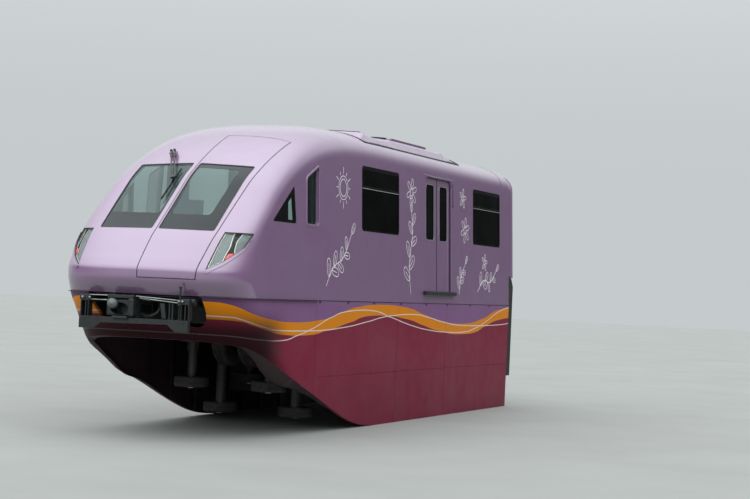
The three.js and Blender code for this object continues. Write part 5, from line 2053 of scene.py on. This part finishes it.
@dataclass
class Gangway(Part):
    """This car's half of the gangway: a purple hood over the top and a black curtain down each side."""

    length: float = 0.33
    inset: float = 0.035
    thickness: float = 0.045
    split_z: float = 1.5
    foot_z: float = -0.3
    folds: int = 5
    fold_pitch: float = 0.05

    def build(self) -> None:
        """Build the hood and the curtains."""
        start = self.hull.REAR_Y + 0.0003
        end = self.hull.REAR_Y + self.length
        inner = self.inset + self.thickness
        hood = prism_along_y("gangway_hood_skin", self.hull.section(self.inset, self.split_z), start, end)
        carved(
            hood, prism_along_y("inside", self.hull.section(inner, self.split_z - 0.5), start - 1, end + 1)
        )
        lip = prism_along_y("lip", self.hull.section(self.inset - 0.012, self.split_z), end - 0.035, end)
        carved(
            lip,
            prism_along_y("inside", self.hull.section(self.inset + 0.02, self.split_z - 0.5), start, end + 1),
        )
        hood = joined("gangway_hood_skin", [bevel_edges(hood, 0.004, 2, 50), bevel_edges(lip, 0.006, 3, 50)])
        paint_all(hood, self.finishes.paint)
        self.hand_over(hood, "purple_paint", "gangway_hood")
        outer_x = float(self.hull.half_width(1.0)) - self.inset
        for side, sign in SIDES:
            outline = [
                (start, self.foot_z), (end, self.foot_z), (end, self.split_z - 0.16),
                (end - 0.11, self.split_z - 0.02), (start + 0.1, self.split_z + 0.03),
                (start, self.split_z + 0.03),
            ]
            curtain = prism_along_x("curtain", outline, outer_x - self.thickness, outer_x)
            folds = [
                block(
                    "fold", (outer_x - 0.006, start + self.fold_pitch * step + 0.02, -1),
                    (outer_x + 1, start + self.fold_pitch * step + 0.028, 2),
                )
                for step in range(1, self.folds + 1)
            ]
            carved(curtain, *folds)
            curtain.name = f"gangway_curtain_{side}"
            paint_all(bevel_edges(curtain, 0.004, 2, 50), self.finishes.rubber)
            self.hand_over(on_side(curtain, sign), "rubber", "gangway_hood", hides=False)


# Running gear


@dataclass
class RunningGear(Part):
    """Bogie frames with their air springs, load axles, guide wheels and stabilising wheels.

    Attributes:
        pivots: place along the car of each bogie's pivot.
        axle_offset: distance of each load axle from the pivot.
        axle_z: height of the load axles.
        guide_x: place across the car of the wheels that turn on upright pins.
        guide_offset: distance of each guide wheel from the pivot.
        guide_z: height of the guide wheels.
        stabiliser_z: height of the stabilising wheels.
        beam_x: inner and outer side of a side beam.
        beam_z: lower and upper side of a side beam.
        beam_half: half length of a side beam.
    """

    pivots: Sequence[tuple[str, float]] = (("front", -2.0), ("rear", 3.95))
    axle_offset: float = 0.62
    axle_z: float = 0.42
    guide_x: float = 0.607
    guide_offset: float = 0.96
    guide_z: float = -0.24
    stabiliser_z: float = -0.64
    beam_x: tuple[float, float] = (0.51, 0.7)
    beam_z: tuple[float, float] = (0.33, 0.56)
    beam_half: float = 1.18

    def build(self) -> None:
        """Build one bogie's pieces once and copy them to every place."""
        axle, frame = self.axle(), self.bogie_frame()
        wheel = self.upright_wheel()
        for place, pivot in self.pivots:
            self.fit(frame, f"{place}_bogie_frame", "welded", "frame_steel", (0, pivot, 0))
            for number, end in ((1, -1), (2, 1)):
                at = (0, pivot + end * self.axle_offset, self.axle_z)
                self.fit(axle, f"{place}_axle_{number}", "tyred", "tyre", at)
            for side, sign in SIDES:
                x = sign * self.guide_x
                for number, end in ((1, -1), (2, 1)):
                    at = (x, pivot + end * self.guide_offset, self.guide_z)
                    self.fit(wheel, f"{place}_guide_wheel_{side}_{number}", "tyred", "tyre", at)
                self.fit(
                    wheel, f"{place}_stabiliser_wheel_{side}", "tyred", "tyre",
                    (x, pivot, self.stabiliser_z),
                )
        for model in (axle, frame, wheel):
            bpy.data.objects.remove(model)

    def fit(self, model: Piece, node: str, ending: str, slot: str, at: Point) -> None:
        """Copy a model to its place and let it stand for a node."""
        self.hand_over(copied(model, f"{node}_{ending}", moved(at)), slot, node, angle=40)

    def ribbed(self, start: float, end: float, radius: float, grooves: int) -> Corners:
        """Tread of a tyre from one end to the other, with grooves round it."""
        tread = [(radius, start)]
        for i in range(grooves):
            middle = start + (end - start) * (i + 1) / (grooves + 1)
            tread += [(radius, middle - 0.005), (radius - 0.007, middle - 0.003),
                      (radius - 0.007, middle + 0.003), (radius, middle + 0.005)]
        return [*tread, (radius, end)]

    def bolts(self, count: int, circle: float, low: float, high: float, radius: float) -> list[Piece]:
        """Ring of hexagon bolts round the upright axis."""
        turns = [math.tau * i / count for i in range(count)]
        places = [(circle * math.cos(turn), circle * math.sin(turn)) for turn in turns]
        return [rod("bolt", (x, y, low), (x, y, high), radius, 6, 0.001) for x, y in places]

    def axle(self) -> Piece:
        """Load axle with the drive case in its middle and a tyred wheel on each side."""
        look = self.finishes
        tyre = [(0.222, 0.1), (0.33, 0.091), (0.392, 0.097), (0.414, 0.116),
                *self.ribbed(0.135, 0.265, 0.42, 4),
                (0.414, 0.284), (0.392, 0.303), (0.33, 0.309), (0.222, 0.3)]
        rim = [(0.05, 0.19), (0.18, 0.19), (0.196, 0.104), (0.226, 0.1), (0.226, 0.302),
               (0.212, 0.304), (0.204, 0.284),
               (0.15, 0.268), (0.12, 0.24), (0.09, 0.262), (0.05, 0.264)]
        shaft = [(0, -0.59), (0.044, -0.59), (0.05, -0.584), (0.05, 0.584), (0.044, 0.59), (0, 0.59)]
        case = [(0.04, -0.088), (0.082, -0.088), (0.09, -0.078), (0.09, -0.012), (0.086, -0.008),
                (0.086, 0.008),
                (0.09, 0.012), (0.09, 0.078), (0.082, 0.088), (0.04, 0.088)]
        pieces = [
            paint_all(lathed("shaft", shaft, steps=32), look.bright_steel),
            paint_all(lathed("case", case, steps=40), look.steel),
        ]
        for flip in (1, -1):
            wheel = [paint_all(lathed("tyre", tyre, steps=64), look.tyre)]
            wheel.append(paint_all(lathed("rim", rim, steps=48), look.steel))
            wheel += [
                paint_all(bolt, look.bright_steel) for bolt in self.bolts(8, 0.172, 0.262, 0.288, 0.013)
            ]
            for piece in wheel:
                if flip < 0:
                    piece.data.transform(Matrix.Rotation(math.pi, 4, "X"))
            pieces += wheel
        model = joined("axle_model", pieces)
        model.data.transform(Matrix.Rotation(math.pi / 2, 4, "Y"))
        return model

    def upright_wheel(self) -> Piece:
        """Tyred wheel that turns on an upright pin, with a dished disc and a bolted hub."""
        look = self.finishes
        tyre = [(0.16, -0.066), (0.205, -0.074), (0.234, -0.071), (0.247, -0.056),
                *self.ribbed(-0.04, 0.04, 0.25, 2),
                (0.247, 0.056), (0.234, 0.071), (0.205, 0.074), (0.16, 0.066)]
        disc = [(0.0365, -0.058), (0.078, -0.06), (0.084, -0.04), (0.146, -0.03), (0.152, -0.064),
                (0.164, -0.066), (0.164, 0.066), (0.152, 0.064), (0.146, 0.03), (0.084, 0.04), (0.078, 0.06),
                (0.0365, 0.058)]
        pieces = [
            paint_all(lathed("tyre", tyre, steps=56), look.tyre),
            paint_all(lathed("disc", disc, steps=40), look.steel),
        ]
        for low, high in ((0.034, 0.048), (-0.048, -0.034)):
            pieces += [paint_all(bolt, look.bright_steel) for bolt in self.bolts(6, 0.115, low, high, 0.011)]
        return joined("wheel_model", pieces)

    def bore(self, low: float, high: float, y: float, radius: float) -> Piece:
        """Tool for an axle's bore through what lies between two places across the car."""
        return rod("bore", (low - 0.1, y, self.axle_z), (high + 0.1, y, self.axle_z), radius, 32)

    def bogie_frame(self) -> Piece:
        """Welded frame: side beams, cross beams, pivot post, air springs and the upright wheels' posts."""
        look = self.finishes
        (inner, outer), (bottom, top), half = self.beam_x, self.beam_z, self.beam_half
        steel, dark, bright = [], [], []
        for sign in (1, -1):
            low, high = sorted((sign * inner, sign * outer))
            beam = block("beam", (low, -half, bottom + 0.012), (high, half, top - 0.012), 0.01, 3)
            plates = [
                block("plate", (low, -half, z), (high, half, z + 0.014), 0.003)
                for z in (bottom, top - 0.014)
            ]
            middle = sign * (inner + outer) / 2
            for end in (-1, 1):
                y = end * self.axle_offset
                box = rod(
                    "axle_box", (low - 0.008, y, self.axle_z), (high + 0.008, y, self.axle_z), 0.086, 32,
                    0.006,
                )
                steel.append(carved(box, self.bore(low, high, y, 0.0506)))
            steel.append(
                carved(beam, *[self.bore(low, high, end * self.axle_offset, 0.085) for end in (-1, 1)])
            )
            steel += plates
            spring = [(0, top), (0.12, top), (0.158, 0.592), (0.165, 0.632), (0.158, 0.68),
                      (0.136, 0.722), (0.134, 0.752), (0.156, 0.794), (0.165, 0.842), (0.156, 0.89),
                      (0.124, 0.922), (0.12, 0.934),
                      (0, 0.934)]
            dark.append(lathed("air_spring", spring, (sign * 0.605, 0, 0), steps=40))
            for y, wheel_z, radius in (
                (-self.guide_offset, self.guide_z, 0.07), (0, self.stabiliser_z, 0.08),
                (self.guide_offset, self.guide_z, 0.07),
            ):
                x = sign * self.guide_x
                steel.append(rod("post", (x, y, wheel_z + 0.086), (x, y, bottom + 0.002), radius - 0.008, 28))
                steel.append(
                    rod("flange", (x, y, wheel_z + 0.073), (x, y, wheel_z + 0.088), radius, 28, 0.003)
                )
                steel.append(
                    rod("flange", (x, y, bottom - 0.016), (x, y, bottom + 0.001), radius + 0.016, 28, 0.003)
                )
                for turn in range(4):
                    angle = math.pi / 4 + turn * math.pi / 2
                    rib = block(
                        "rib", (radius - 0.014, -0.005, bottom - 0.14),
                        (radius + 0.01, 0.005, bottom - 0.012), 0.002, 1,
                    )
                    rib.data.transform(moved((x, y, 0)) @ Matrix.Rotation(angle, 4, "Z"))
                    steel.append(rib)
                bright.append(rod("pin", (x, y, wheel_z - 0.07), (x, y, wheel_z + 0.076), 0.036, 24))
                bright.append(
                    rod("washer", (x, y, wheel_z - 0.078), (x, y, wheel_z - 0.066), 0.058, 28, 0.002)
                )
                bright.append(rod("nut", (x, y, wheel_z - 0.095), (x, y, wheel_z - 0.076), 0.046, 6, 0.003))
            damper = middle - sign * 0.02
            dark.append(rod("damper", (damper, -0.42, 0.52), (damper, -0.3, 0.74), 0.03, 20, 0.004))
            bright.append(rod("damper_rod", (damper, -0.31, 0.72), (damper, -0.27, 0.795), 0.012, 14, 0.002))
        steel.append(
            block("cross_beam", (-inner - 0.001, -0.15, 0.4), (inner + 0.001, 0.15, 0.7), 0.012, 3)
        )
        for y in (-1.11, 1.11):
            steel.append(
                block(
                    "end_beam", (-inner - 0.001, y - 0.06, 0.43), (inner + 0.001, y + 0.06, 0.54),
                    0.008, 3,
                )
            )
        post = [
            (0, 0.69), (0.175, 0.69), (0.175, 0.715), (0.14, 0.73), (0.128, 0.8), (0.15, 0.9), (0.15, 0.934),
            (0, 0.934),
        ]
        steel.append(lathed("pivot_post", post, steps=40))
        return joined("frame_model", [
            *[paint_all(piece, look.steel) for piece in steel],
            *[paint_all(piece, look.rubber) for piece in dark],
            *[paint_all(piece, look.bright_steel) for piece in bright],
        ])


# Coupler gear


@dataclass
class CouplerGear(Part):
    """Coupler, guard beam with its posts, control rods and small fittings in the chin's recess."""

    guard_front: float = -5.85
    guard_thickness: float = 0.07
    guard_half: float = 0.781
    arm_rear: float = -4.98
    coupler_x: float = -0.19
    tip: float = -5.89

    def build(self) -> None:
        """Build the gear in groups."""
        self.build_guard()
        self.build_coupler()
        self.build_rods()

    def build_guard(self) -> None:
        """Guard beam: a folded plate with drop ends, carried by two channel posts and their arms."""
        front, half = self.guard_front, self.guard_half
        outline = [
            (-half, 0.534), (-0.575, 0.534), (-0.465, 0.612), (0.495, 0.622), (0.6, 0.538), (half, 0.538),
            (half, 0.688), (-half, 0.684),
        ]
        plate = bevel_edges(prism_along_y("plate", outline, front, front + 0.012), 0.003, 2, 50)
        flange = block(
            "flange", (-half, front + 0.004, 0.678), (half, front + self.guard_thickness, 0.688), 0.003
        )
        pieces = [plate, flange]
        pieces.append(block("splice", (-0.075, front - 0.005, 0.62), (-0.068, front + 0.002, 0.686), 0.001))
        for x0, x1 in ((-half, -half + 0.012), (half - 0.012, half)):
            pieces.append(
                block("cheek", (x0, front + 0.004, 0.536), (x1, front + self.guard_thickness, 0.684), 0.003)
            )
        for x in (-0.7, -0.52, 0.05, 0.645, 0.72):
            pieces.append(rod("bolt", (x, front + 0.002, 0.656), (x, front - 0.008, 0.656), 0.009, 6, 0.0015))
        for sign in (1, -1):
            pieces += self.post(sign)
        guard = paint_all(joined("coupler_guard_beam", pieces), self.finishes.slate)
        self.hand_over(guard, "slate_steel", "coupler_guard")

    def post(self, sign: int) -> list[Piece]:
        """Channel post on the beam, its arm to the headstock and its head with a round cap; the head's two
        round studs are made with the rods.
        """
        inner, outer = 0.662, 0.779
        near, far = self.guard_front + 0.022, self.guard_front + 0.128
        pieces = [
            block("web", (inner, far - 0.012, 0.684), (outer, far, 0.925), 0.003),
            block("flange", (inner, near, 0.684), (inner + 0.012, far, 0.925), 0.003),
            block("flange", (outer - 0.012, near, 0.684), (outer, far, 0.925), 0.003),
            block("rib", (inner + 0.046, near + 0.02, 0.684), (inner + 0.062, far, 0.92), 0.003),
            block("head", (inner - 0.005, near - 0.004, 0.88), (outer + 0.003, far + 0.03, 0.962), 0.012, 3),
            block("arm", (inner + 0.004, near + 0.05, 0.862), (outer - 0.004, self.arm_rear, 0.928), 0.006),
            rod(
                "cap", (outer - 0.02, far - 0.02, 0.925), (outer + 0.045, far - 0.02, 0.925), 0.04, 24,
                0.006,
            ),
        ]
        return [on_side(piece, sign) for piece in pieces]

    def build_coupler(self) -> None:
        """Coupler head: ring-shaped body, top plate, rounded horn, face plate and shank."""
        x, tip = self.coupler_x, self.tip
        body = block("body", (x - 0.205, tip + 0.045, 0.7), (x + 0.205, tip + 0.24, 0.93), 0.03, 4)
        mouth = prism_along_y("mouth", oval(x - 0.01, 0.8, 0.132, 0.078, 28), tip - 0.2, tip + 0.19)
        carved(body, mouth)
        funnel = lathed("funnel",
                        [(0.02, 0), (0.075, 0), (0.095, 0.06), (0.088, 0.062), (0.06, 0.008), (0.02, 0.008)],
                        (x - 0.01, tip + 0.21, 0.8), (0, -1, 0), 32)
        plate = block("top_plate", (x - 0.176, tip + 0.015, 0.932), (x + 0.2, tip + 0.25, 0.975), 0.008, 3)
        hook = block("cheek", (x + 0.13, tip, 0.705), (x + 0.212, tip + 0.13, 0.935), 0.022, 4)
        horn = lathed(
            "horn",
            [
                (0, -0.075), (0.04, -0.07), (0.068, -0.035), (0.074, 0.0), (0.066, 0.04), (0.04, 0.062),
                (0, 0.066),
            ],
            (x - 0.112, tip + 0.055, 0.862), (0.25, -1, 0.2), 32)
        foot = block("foot", (x - 0.1, tip + 0.005, 0.672), (x + 0.12, tip + 0.18, 0.706), 0.01, 3)
        shank = block("shank", (x - 0.07, tip + 0.22, 0.742), (x + 0.07, -4.981, 0.858), 0.012, 3)
        collars = [
            block("collar", (x - 0.09, y, 0.725), (x + 0.09, y + 0.05, 0.875), 0.01, 3)
            for y in (-5.55, -5.15)
        ]
        bolts = []
        for dx, z in ((0.165, 0.895), (0.165, 0.74), (0.19, 0.82)):
            bolts.append(rod("bolt", (x + dx, tip + 0.004, z), (x + dx, tip - 0.008, z), 0.008, 6, 0.001))
        for dx in (-0.12, 0.02, 0.15):
            bolts.append(
                rod("stud", (x + dx, tip + 0.1, 0.972), (x + dx, tip + 0.1, 0.988), 0.014, 6, 0.002)
            )
        paint_all(horn, self.finishes.cast_iron)
        dark = [paint_all(piece, self.finishes.slate) for piece in
                (body, plate, hook, foot, shank, *collars, *bolts)]
        paint_all(funnel, self.finishes.black_plastic)
        self.hand_over(joined("coupler_head", [*dark, horn, funnel]), "slate_steel", "coupler")

    def build_rods(self) -> None:
        """Control rods, springs, studs, lever, mast and hoses."""
        bright, dark = [], []
        head_y = self.guard_front + 0.03
        rods = (
            ((0.01, 0.966), (0.668, 0.934)), ((0.06, 0.944), (0.668, 0.9)),
            ((-0.66, 0.958), (-0.366, 0.962)), ((-0.66, 0.9), (-0.366, 0.902)),
        )
        for (x0, z0), (x1, z1) in rods:
            bright.append(rod("rod", (x0, head_y + 0.02, z0), (x1, head_y + 0.02, z1), 0.0075, 12))
        coil = [
            (0.095 + 0.105 * t, head_y + 0.02 + 0.016 * math.cos(math.tau * 7 * t),
             0.9415 - 0.008 * t + 0.016 * math.sin(math.tau * 7 * t))
            for t in np.linspace(0, 1, 71)
        ]
        bright.append(pipe("spring", coil, 0.0035, 2))
        for x in (-0.742, -0.64, 0.642, 0.69):
            profile = [(0, 0.03), (0.01, 0.028), (0.017, 0.02), (0.019, 0.01), (0.014, 0), (0, 0)]
            bright.append(lathed("stud", profile, (x, self.guard_front + 0.02, 0.925), (0, -1, 0), 20))
        lever = [(0.352, 0.89), (0.416, 0.89), (0.444, 0.7), (0.386, 0.7)]
        dark.append(bevel_edges(prism_along_y("lever", lever, head_y + 0.02, head_y + 0.034), 0.003, 2, 50))
        for x, radius in ((0.487, 0.011), (0.531, 0.012), (0.626, 0.01)):
            dark.append(rod("upright", (x, head_y + 0.03, 0.688), (x, head_y + 0.03, 0.9), radius, 14))
            dark.append(
                rod("foot", (x, head_y + 0.03, 0.688), (x, head_y + 0.03, 0.706), radius + 0.008, 6, 0.002)
            )
        mast_y = self.guard_front - 0.012
        dark.append(
            rod("mast", (0.652, mast_y + 0.03, 0.935), (0.652, mast_y + 0.03, 1.095), 0.012, 12, 0.002)
        )
        dark.append(block("tip", (0.634, mast_y + 0.014, 1.09), (0.67, mast_y + 0.046, 1.112), 0.004))
        dark.append(block("bracket", (0.62, mast_y + 0.02, 0.87), (0.672, mast_y + 0.07, 0.952), 0.006))
        hoses = (
            [
                (0.2, -5.3, 0.92), (0.22, -5.52, 0.86), (0.2, -5.6, 0.76), (0.08, -5.62, 0.72),
                (-0.02, -5.58, 0.75),
            ],
            [
                (-0.5, -5.25, 0.94), (-0.52, -5.5, 0.88), (-0.5, -5.6, 0.78), (-0.42, -5.62, 0.74),
                (-0.36, -5.6, 0.76),
            ],
        )
        for points in hoses:
            dark.append(pipe("hose", points, 0.017, 3))
        bright_piece = paint_all(joined("coupler_rods", bright), self.finishes.bright_steel)
        dark_piece = paint_all(joined("coupler_fittings", dark), self.finishes.slate)
        self.hand_over(bright_piece, "rail_steel", "coupler_guard", hides=False)
        self.hand_over(dark_piece, "slate_steel", "coupler_guard", hides=False)


def oval(x: float, z: float, half_width: float, half_height: float, steps: int) -> Corners:
    """Points of an oval in x and z."""
    return [
        (x + half_width * math.cos(math.tau * i / steps), z + half_height * math.sin(math.tau * i / steps))
        for i in range(steps)
    ]


# Wiper


@dataclass
class Wiper(Part):
    """Two parallel arms on a boss above the fixed windscreen, and the upright blade that they carry."""

    pivot: Point = (-0.46, -4.075, 2.897)
    tilt: float = 35.0
    lean: float = 24.5
    length: float = 0.76
    spacing: float = 0.045
    low: float = 0.064
    high: float = 0.084
    blade_slope: float = 4.8

    def place(self) -> Matrix:
        """Matrix from the plane of the arms to the car."""
        return moved(self.pivot) @ Matrix.Rotation(math.radians(self.tilt), 4, "X")

    def build(self) -> None:
        """Build the boss, the arms and the blade."""
        boss = block("wiper_boss", (-0.054, -0.03, -0.035), (0.054, 0.03, 0.06), 0.008, 3)
        boss.data.transform(self.place())
        paint_all(boss, self.finishes.paint)
        self.hand_over(boss, "lilac_paint", "nose_cowl", hides=False)
        self.build_arms()
        self.build_blade()

    def build_arms(self) -> None:
        """Two arms with pivot caps, springs' covers and the head that joins them."""
        dark, pale = [], []
        for end in (-1, 1):
            x = end * self.spacing / 2
            dark.append(block("arm", (x - 0.008, -self.length, self.low), (x + 0.008, 0, self.high), 0.003))
            dark.append(
                block(
                    "cover", (x - 0.0105, -0.2, self.low - 0.001), (x + 0.0105, -0.03, self.high + 0.004),
                    0.003,
                )
            )
            cap = [(0, 0.006), (0.014, 0.004), (0.019, -0.004), (0.019, -0.024), (0, -0.024)]
            pale.append(lathed("cap", cap, (x, 0, self.high + 0.006), steps=24))
        dark.append(
            block(
                "head", (-0.036, -self.length - 0.018, self.low),
                (0.036, -self.length + 0.018, self.high + 0.004), 0.004,
            )
        )
        arms = joined("wiper_arm_pair", [paint_all(piece, self.finishes.black_plastic) for piece in dark]
                      + [paint_all(piece, self.finishes.slate) for piece in pale])
        arms.data.transform(self.place() @ Matrix.Rotation(math.radians(self.lean), 4, "Z"))
        self.hand_over(arms, "rubber", "wiper_arms")

    def build_blade(self) -> None:
        """Blade: carrier with four claws, rubber and the joint on the arms' head."""
        pieces = [block("carrier", (-0.011, -0.405, 0.014), (0.011, 0.265, 0.03), 0.003)]
        pieces.append(block("bridge", (-0.011, -0.27, 0.026), (0.011, 0.16, 0.034), 0.003))
        for y in (-0.37, -0.2, 0.04, 0.23):
            pieces.append(block("claw", (-0.012, y - 0.012, 0.012), (0.012, y + 0.012, 0.031), 0.002))
        pieces.append(block("rubber", (-0.0035, -0.41, 0.006), (0.0035, 0.27, 0.02), 0.001))
        blade = joined("wiper_blade_set", pieces)
        blade.data.transform(Matrix.Rotation(math.radians(self.blade_slope), 4, "X"))
        joint = rod("joint", (0, 0, 0.028), (0, 0, self.low - 0.0004), 0.012, 20)
        blade = paint_all(joined("wiper_blade_set", [blade, joint]), self.finishes.black_print)
        lean = math.radians(self.lean)
        end = (self.length * math.sin(lean), -self.length * math.cos(lean), 0)
        blade.data.transform(self.place() @ moved(end))
        self.hand_over(blade, "rubber", "wiper_blade")


# Stage


@dataclass
class Stage:
    """Pale floor, soft light and the camera.

    Attributes:
        focal_pixels: focal length in pixels of the 750 pixel wide picture.
        yaw: turn of the view about the upright, in radians.
        pitch: tilt of the view, in radians.
        roll: roll of the view, in radians.
        eye: the camera's place.
        picture_width: width in pixels of the picture that the focal length counts for.
        sensor_width: width of the camera's sensor in millimetres.
        floor_size: side of the floor.
        floor_z: height of the floor.
        horizon: brightness low down behind the car.
        bright: brightness overhead.
        dim: brightness low down elsewhere.
        left_share: share of the overhead brightness that the car's left side gets.
        glow: strength of the wide glow.
        glow_from: direction from which the glow comes.
    """

    focal_pixels: float = 1809.28
    yaw: float = 0.3755
    pitch: float = -0.0216
    roll: float = 0.0446
    eye: Point = (11.2187, -26.0592, 1.1957)
    picture_width: int = 750
    sensor_width: float = 36
    floor_size: float = 240
    floor_z: float = -0.85
    horizon: float = 0.62
    bright: float = 1.0
    dim: float = 0.08
    left_share: float = 0.42
    glow: float = 2.05
    glow_from: Point = (0.05, -0.4, 0.91)

    def build(self) -> None:
        """Make the camera, the light and the floor."""
        self.build_camera()
        self.build_surround()
        self.build_floor()

    def build_camera(self) -> None:
        """Camera at the photograph's viewing angle."""
        data = bpy.data.cameras.new("camera")
        camera = bpy.data.objects.new("camera", data)
        bpy.context.scene.collection.objects.link(camera)
        back = Vector((
            math.sin(self.yaw) * math.cos(self.pitch), -math.cos(self.yaw) * math.cos(self.pitch),
            math.sin(self.pitch),
        ))
        level = Vector((0, 0, 1)).cross(back).normalized()
        upright = back.cross(level)
        right = level * math.cos(self.roll) + upright * math.sin(self.roll)
        up = upright * math.cos(self.roll) - level * math.sin(self.roll)
        camera.matrix_world = moved(self.eye) @ Matrix((right, up, back)).transposed().to_4x4()
        data.sensor_width = self.sensor_width
        data.lens = self.focal_pixels / self.picture_width * self.sensor_width
        data.clip_start = 0.5
        data.clip_end = 500
        bpy.context.scene.camera = camera

    def build_surround(self) -> None:
        """Soft light: bright overhead and behind, wide glow above the nose, dim low down ahead."""
        recipe = Recipe("surround", surround=True)
        across, along, height = recipe.axes()
        behind = recipe.math(
            "MULTIPLY", recipe.between(across, 0.24, -0.06, 0, 1, True),
            recipe.between(along, -0.1, 0.3, 0, 1, True),
        )
        low = recipe.between(behind, 0, 1, self.dim, self.horizon)
        high = recipe.between(across, 0.2, 0.95, self.bright, self.bright * self.left_share, True)
        lift = recipe.between(along, -0.2, -0.7, 0, 0.15, True)
        rise = recipe.between(recipe.math("ADD", height, lift), 0.06, 0.42, 0, 1, True)
        level = recipe.math("ADD", low, recipe.math("MULTIPLY", rise, recipe.math("SUBTRACT", high, low)))
        towards = [
            recipe.math("MULTIPLY", axis, part) for axis,
            part in zip((across, along, height), self.glow_from)
        ]
        facing = recipe.math("ADD", recipe.math("ADD", towards[0], towards[1]), towards[2])
        glow = recipe.between(facing, 0.1, 1.0, 0, self.glow, True)
        recipe.put(recipe.shader.inputs["Strength"], recipe.math("ADD", level, glow))
        recipe.set(Color=(0.9, 0.96, 0.97, 1))
        bpy.context.scene.world = recipe.material
        bpy.context.scene.view_settings.view_transform = "Standard"

    def build_floor(self) -> None:
        """Pale floor at the foot of the skirts."""
        bpy.ops.mesh.primitive_plane_add(size=self.floor_size, location=(0, 0, self.floor_z - 0.001))
        floor = settle(bpy.context.active_object, "studio_floor")
        recipe = Recipe("studio_floor")
        speckle = recipe.between(recipe.noise(0.6, 4), 0.3, 0.7, 0, 1)
        recipe.feed("Base Color", recipe.blend(speckle, colour(132, 132, 130), colour(138, 138, 136)))
        recipe.set(Roughness=0.8)
        paint_all(floor, recipe.material)


# Pieces that stay as the frame has them


@dataclass
class BareNodes(Part):
    """Nodes of the frame that stay as they are, with a finish of their own."""

    def build(self) -> None:
        """Dress the nodes; the first word of a row is the start of their names."""
        frame, look = self.frame, self.finishes
        # The bulkhead takes the glowing cab lining: painted light for the daylit cab.
        rows = (
            ("underframe", "floor_grey", look.slate), ("cab_bulkhead", "lining", look.glowing_cab_lining),
            ("driver_desk", "slate_steel", look.black_plastic), ("driver_seat", "seat_fabric", look.fabric),
            ("bench", "seat_fabric", look.fabric), ("handrails", "rail_steel", look.bright_steel),
        )
        for start, slot, material in rows:
            for node in (name for name in frame["nodes"] if name.startswith(start)):
                paint_all(frame["nodes"][node], material)


# The whole car


def main() -> None:
    """Build the car in order around its frame."""
    logging.basicConfig(level=logging.INFO, format="%(name)s: %(message)s")
    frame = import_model()
    Stage().build()
    hull = Hull()
    hull.model_surface()
    finishes = Finishes()
    parts = (
        BareNodes, Nose, Chin, Skirts, Saloon, Doors, RoofPod, Gangway, WallDrawings, RunningGear,
        CouplerGear, Wiper,
    )
    for part in parts:
        part(frame, hull, finishes).build()


if __name__ == "__main__":
    main()
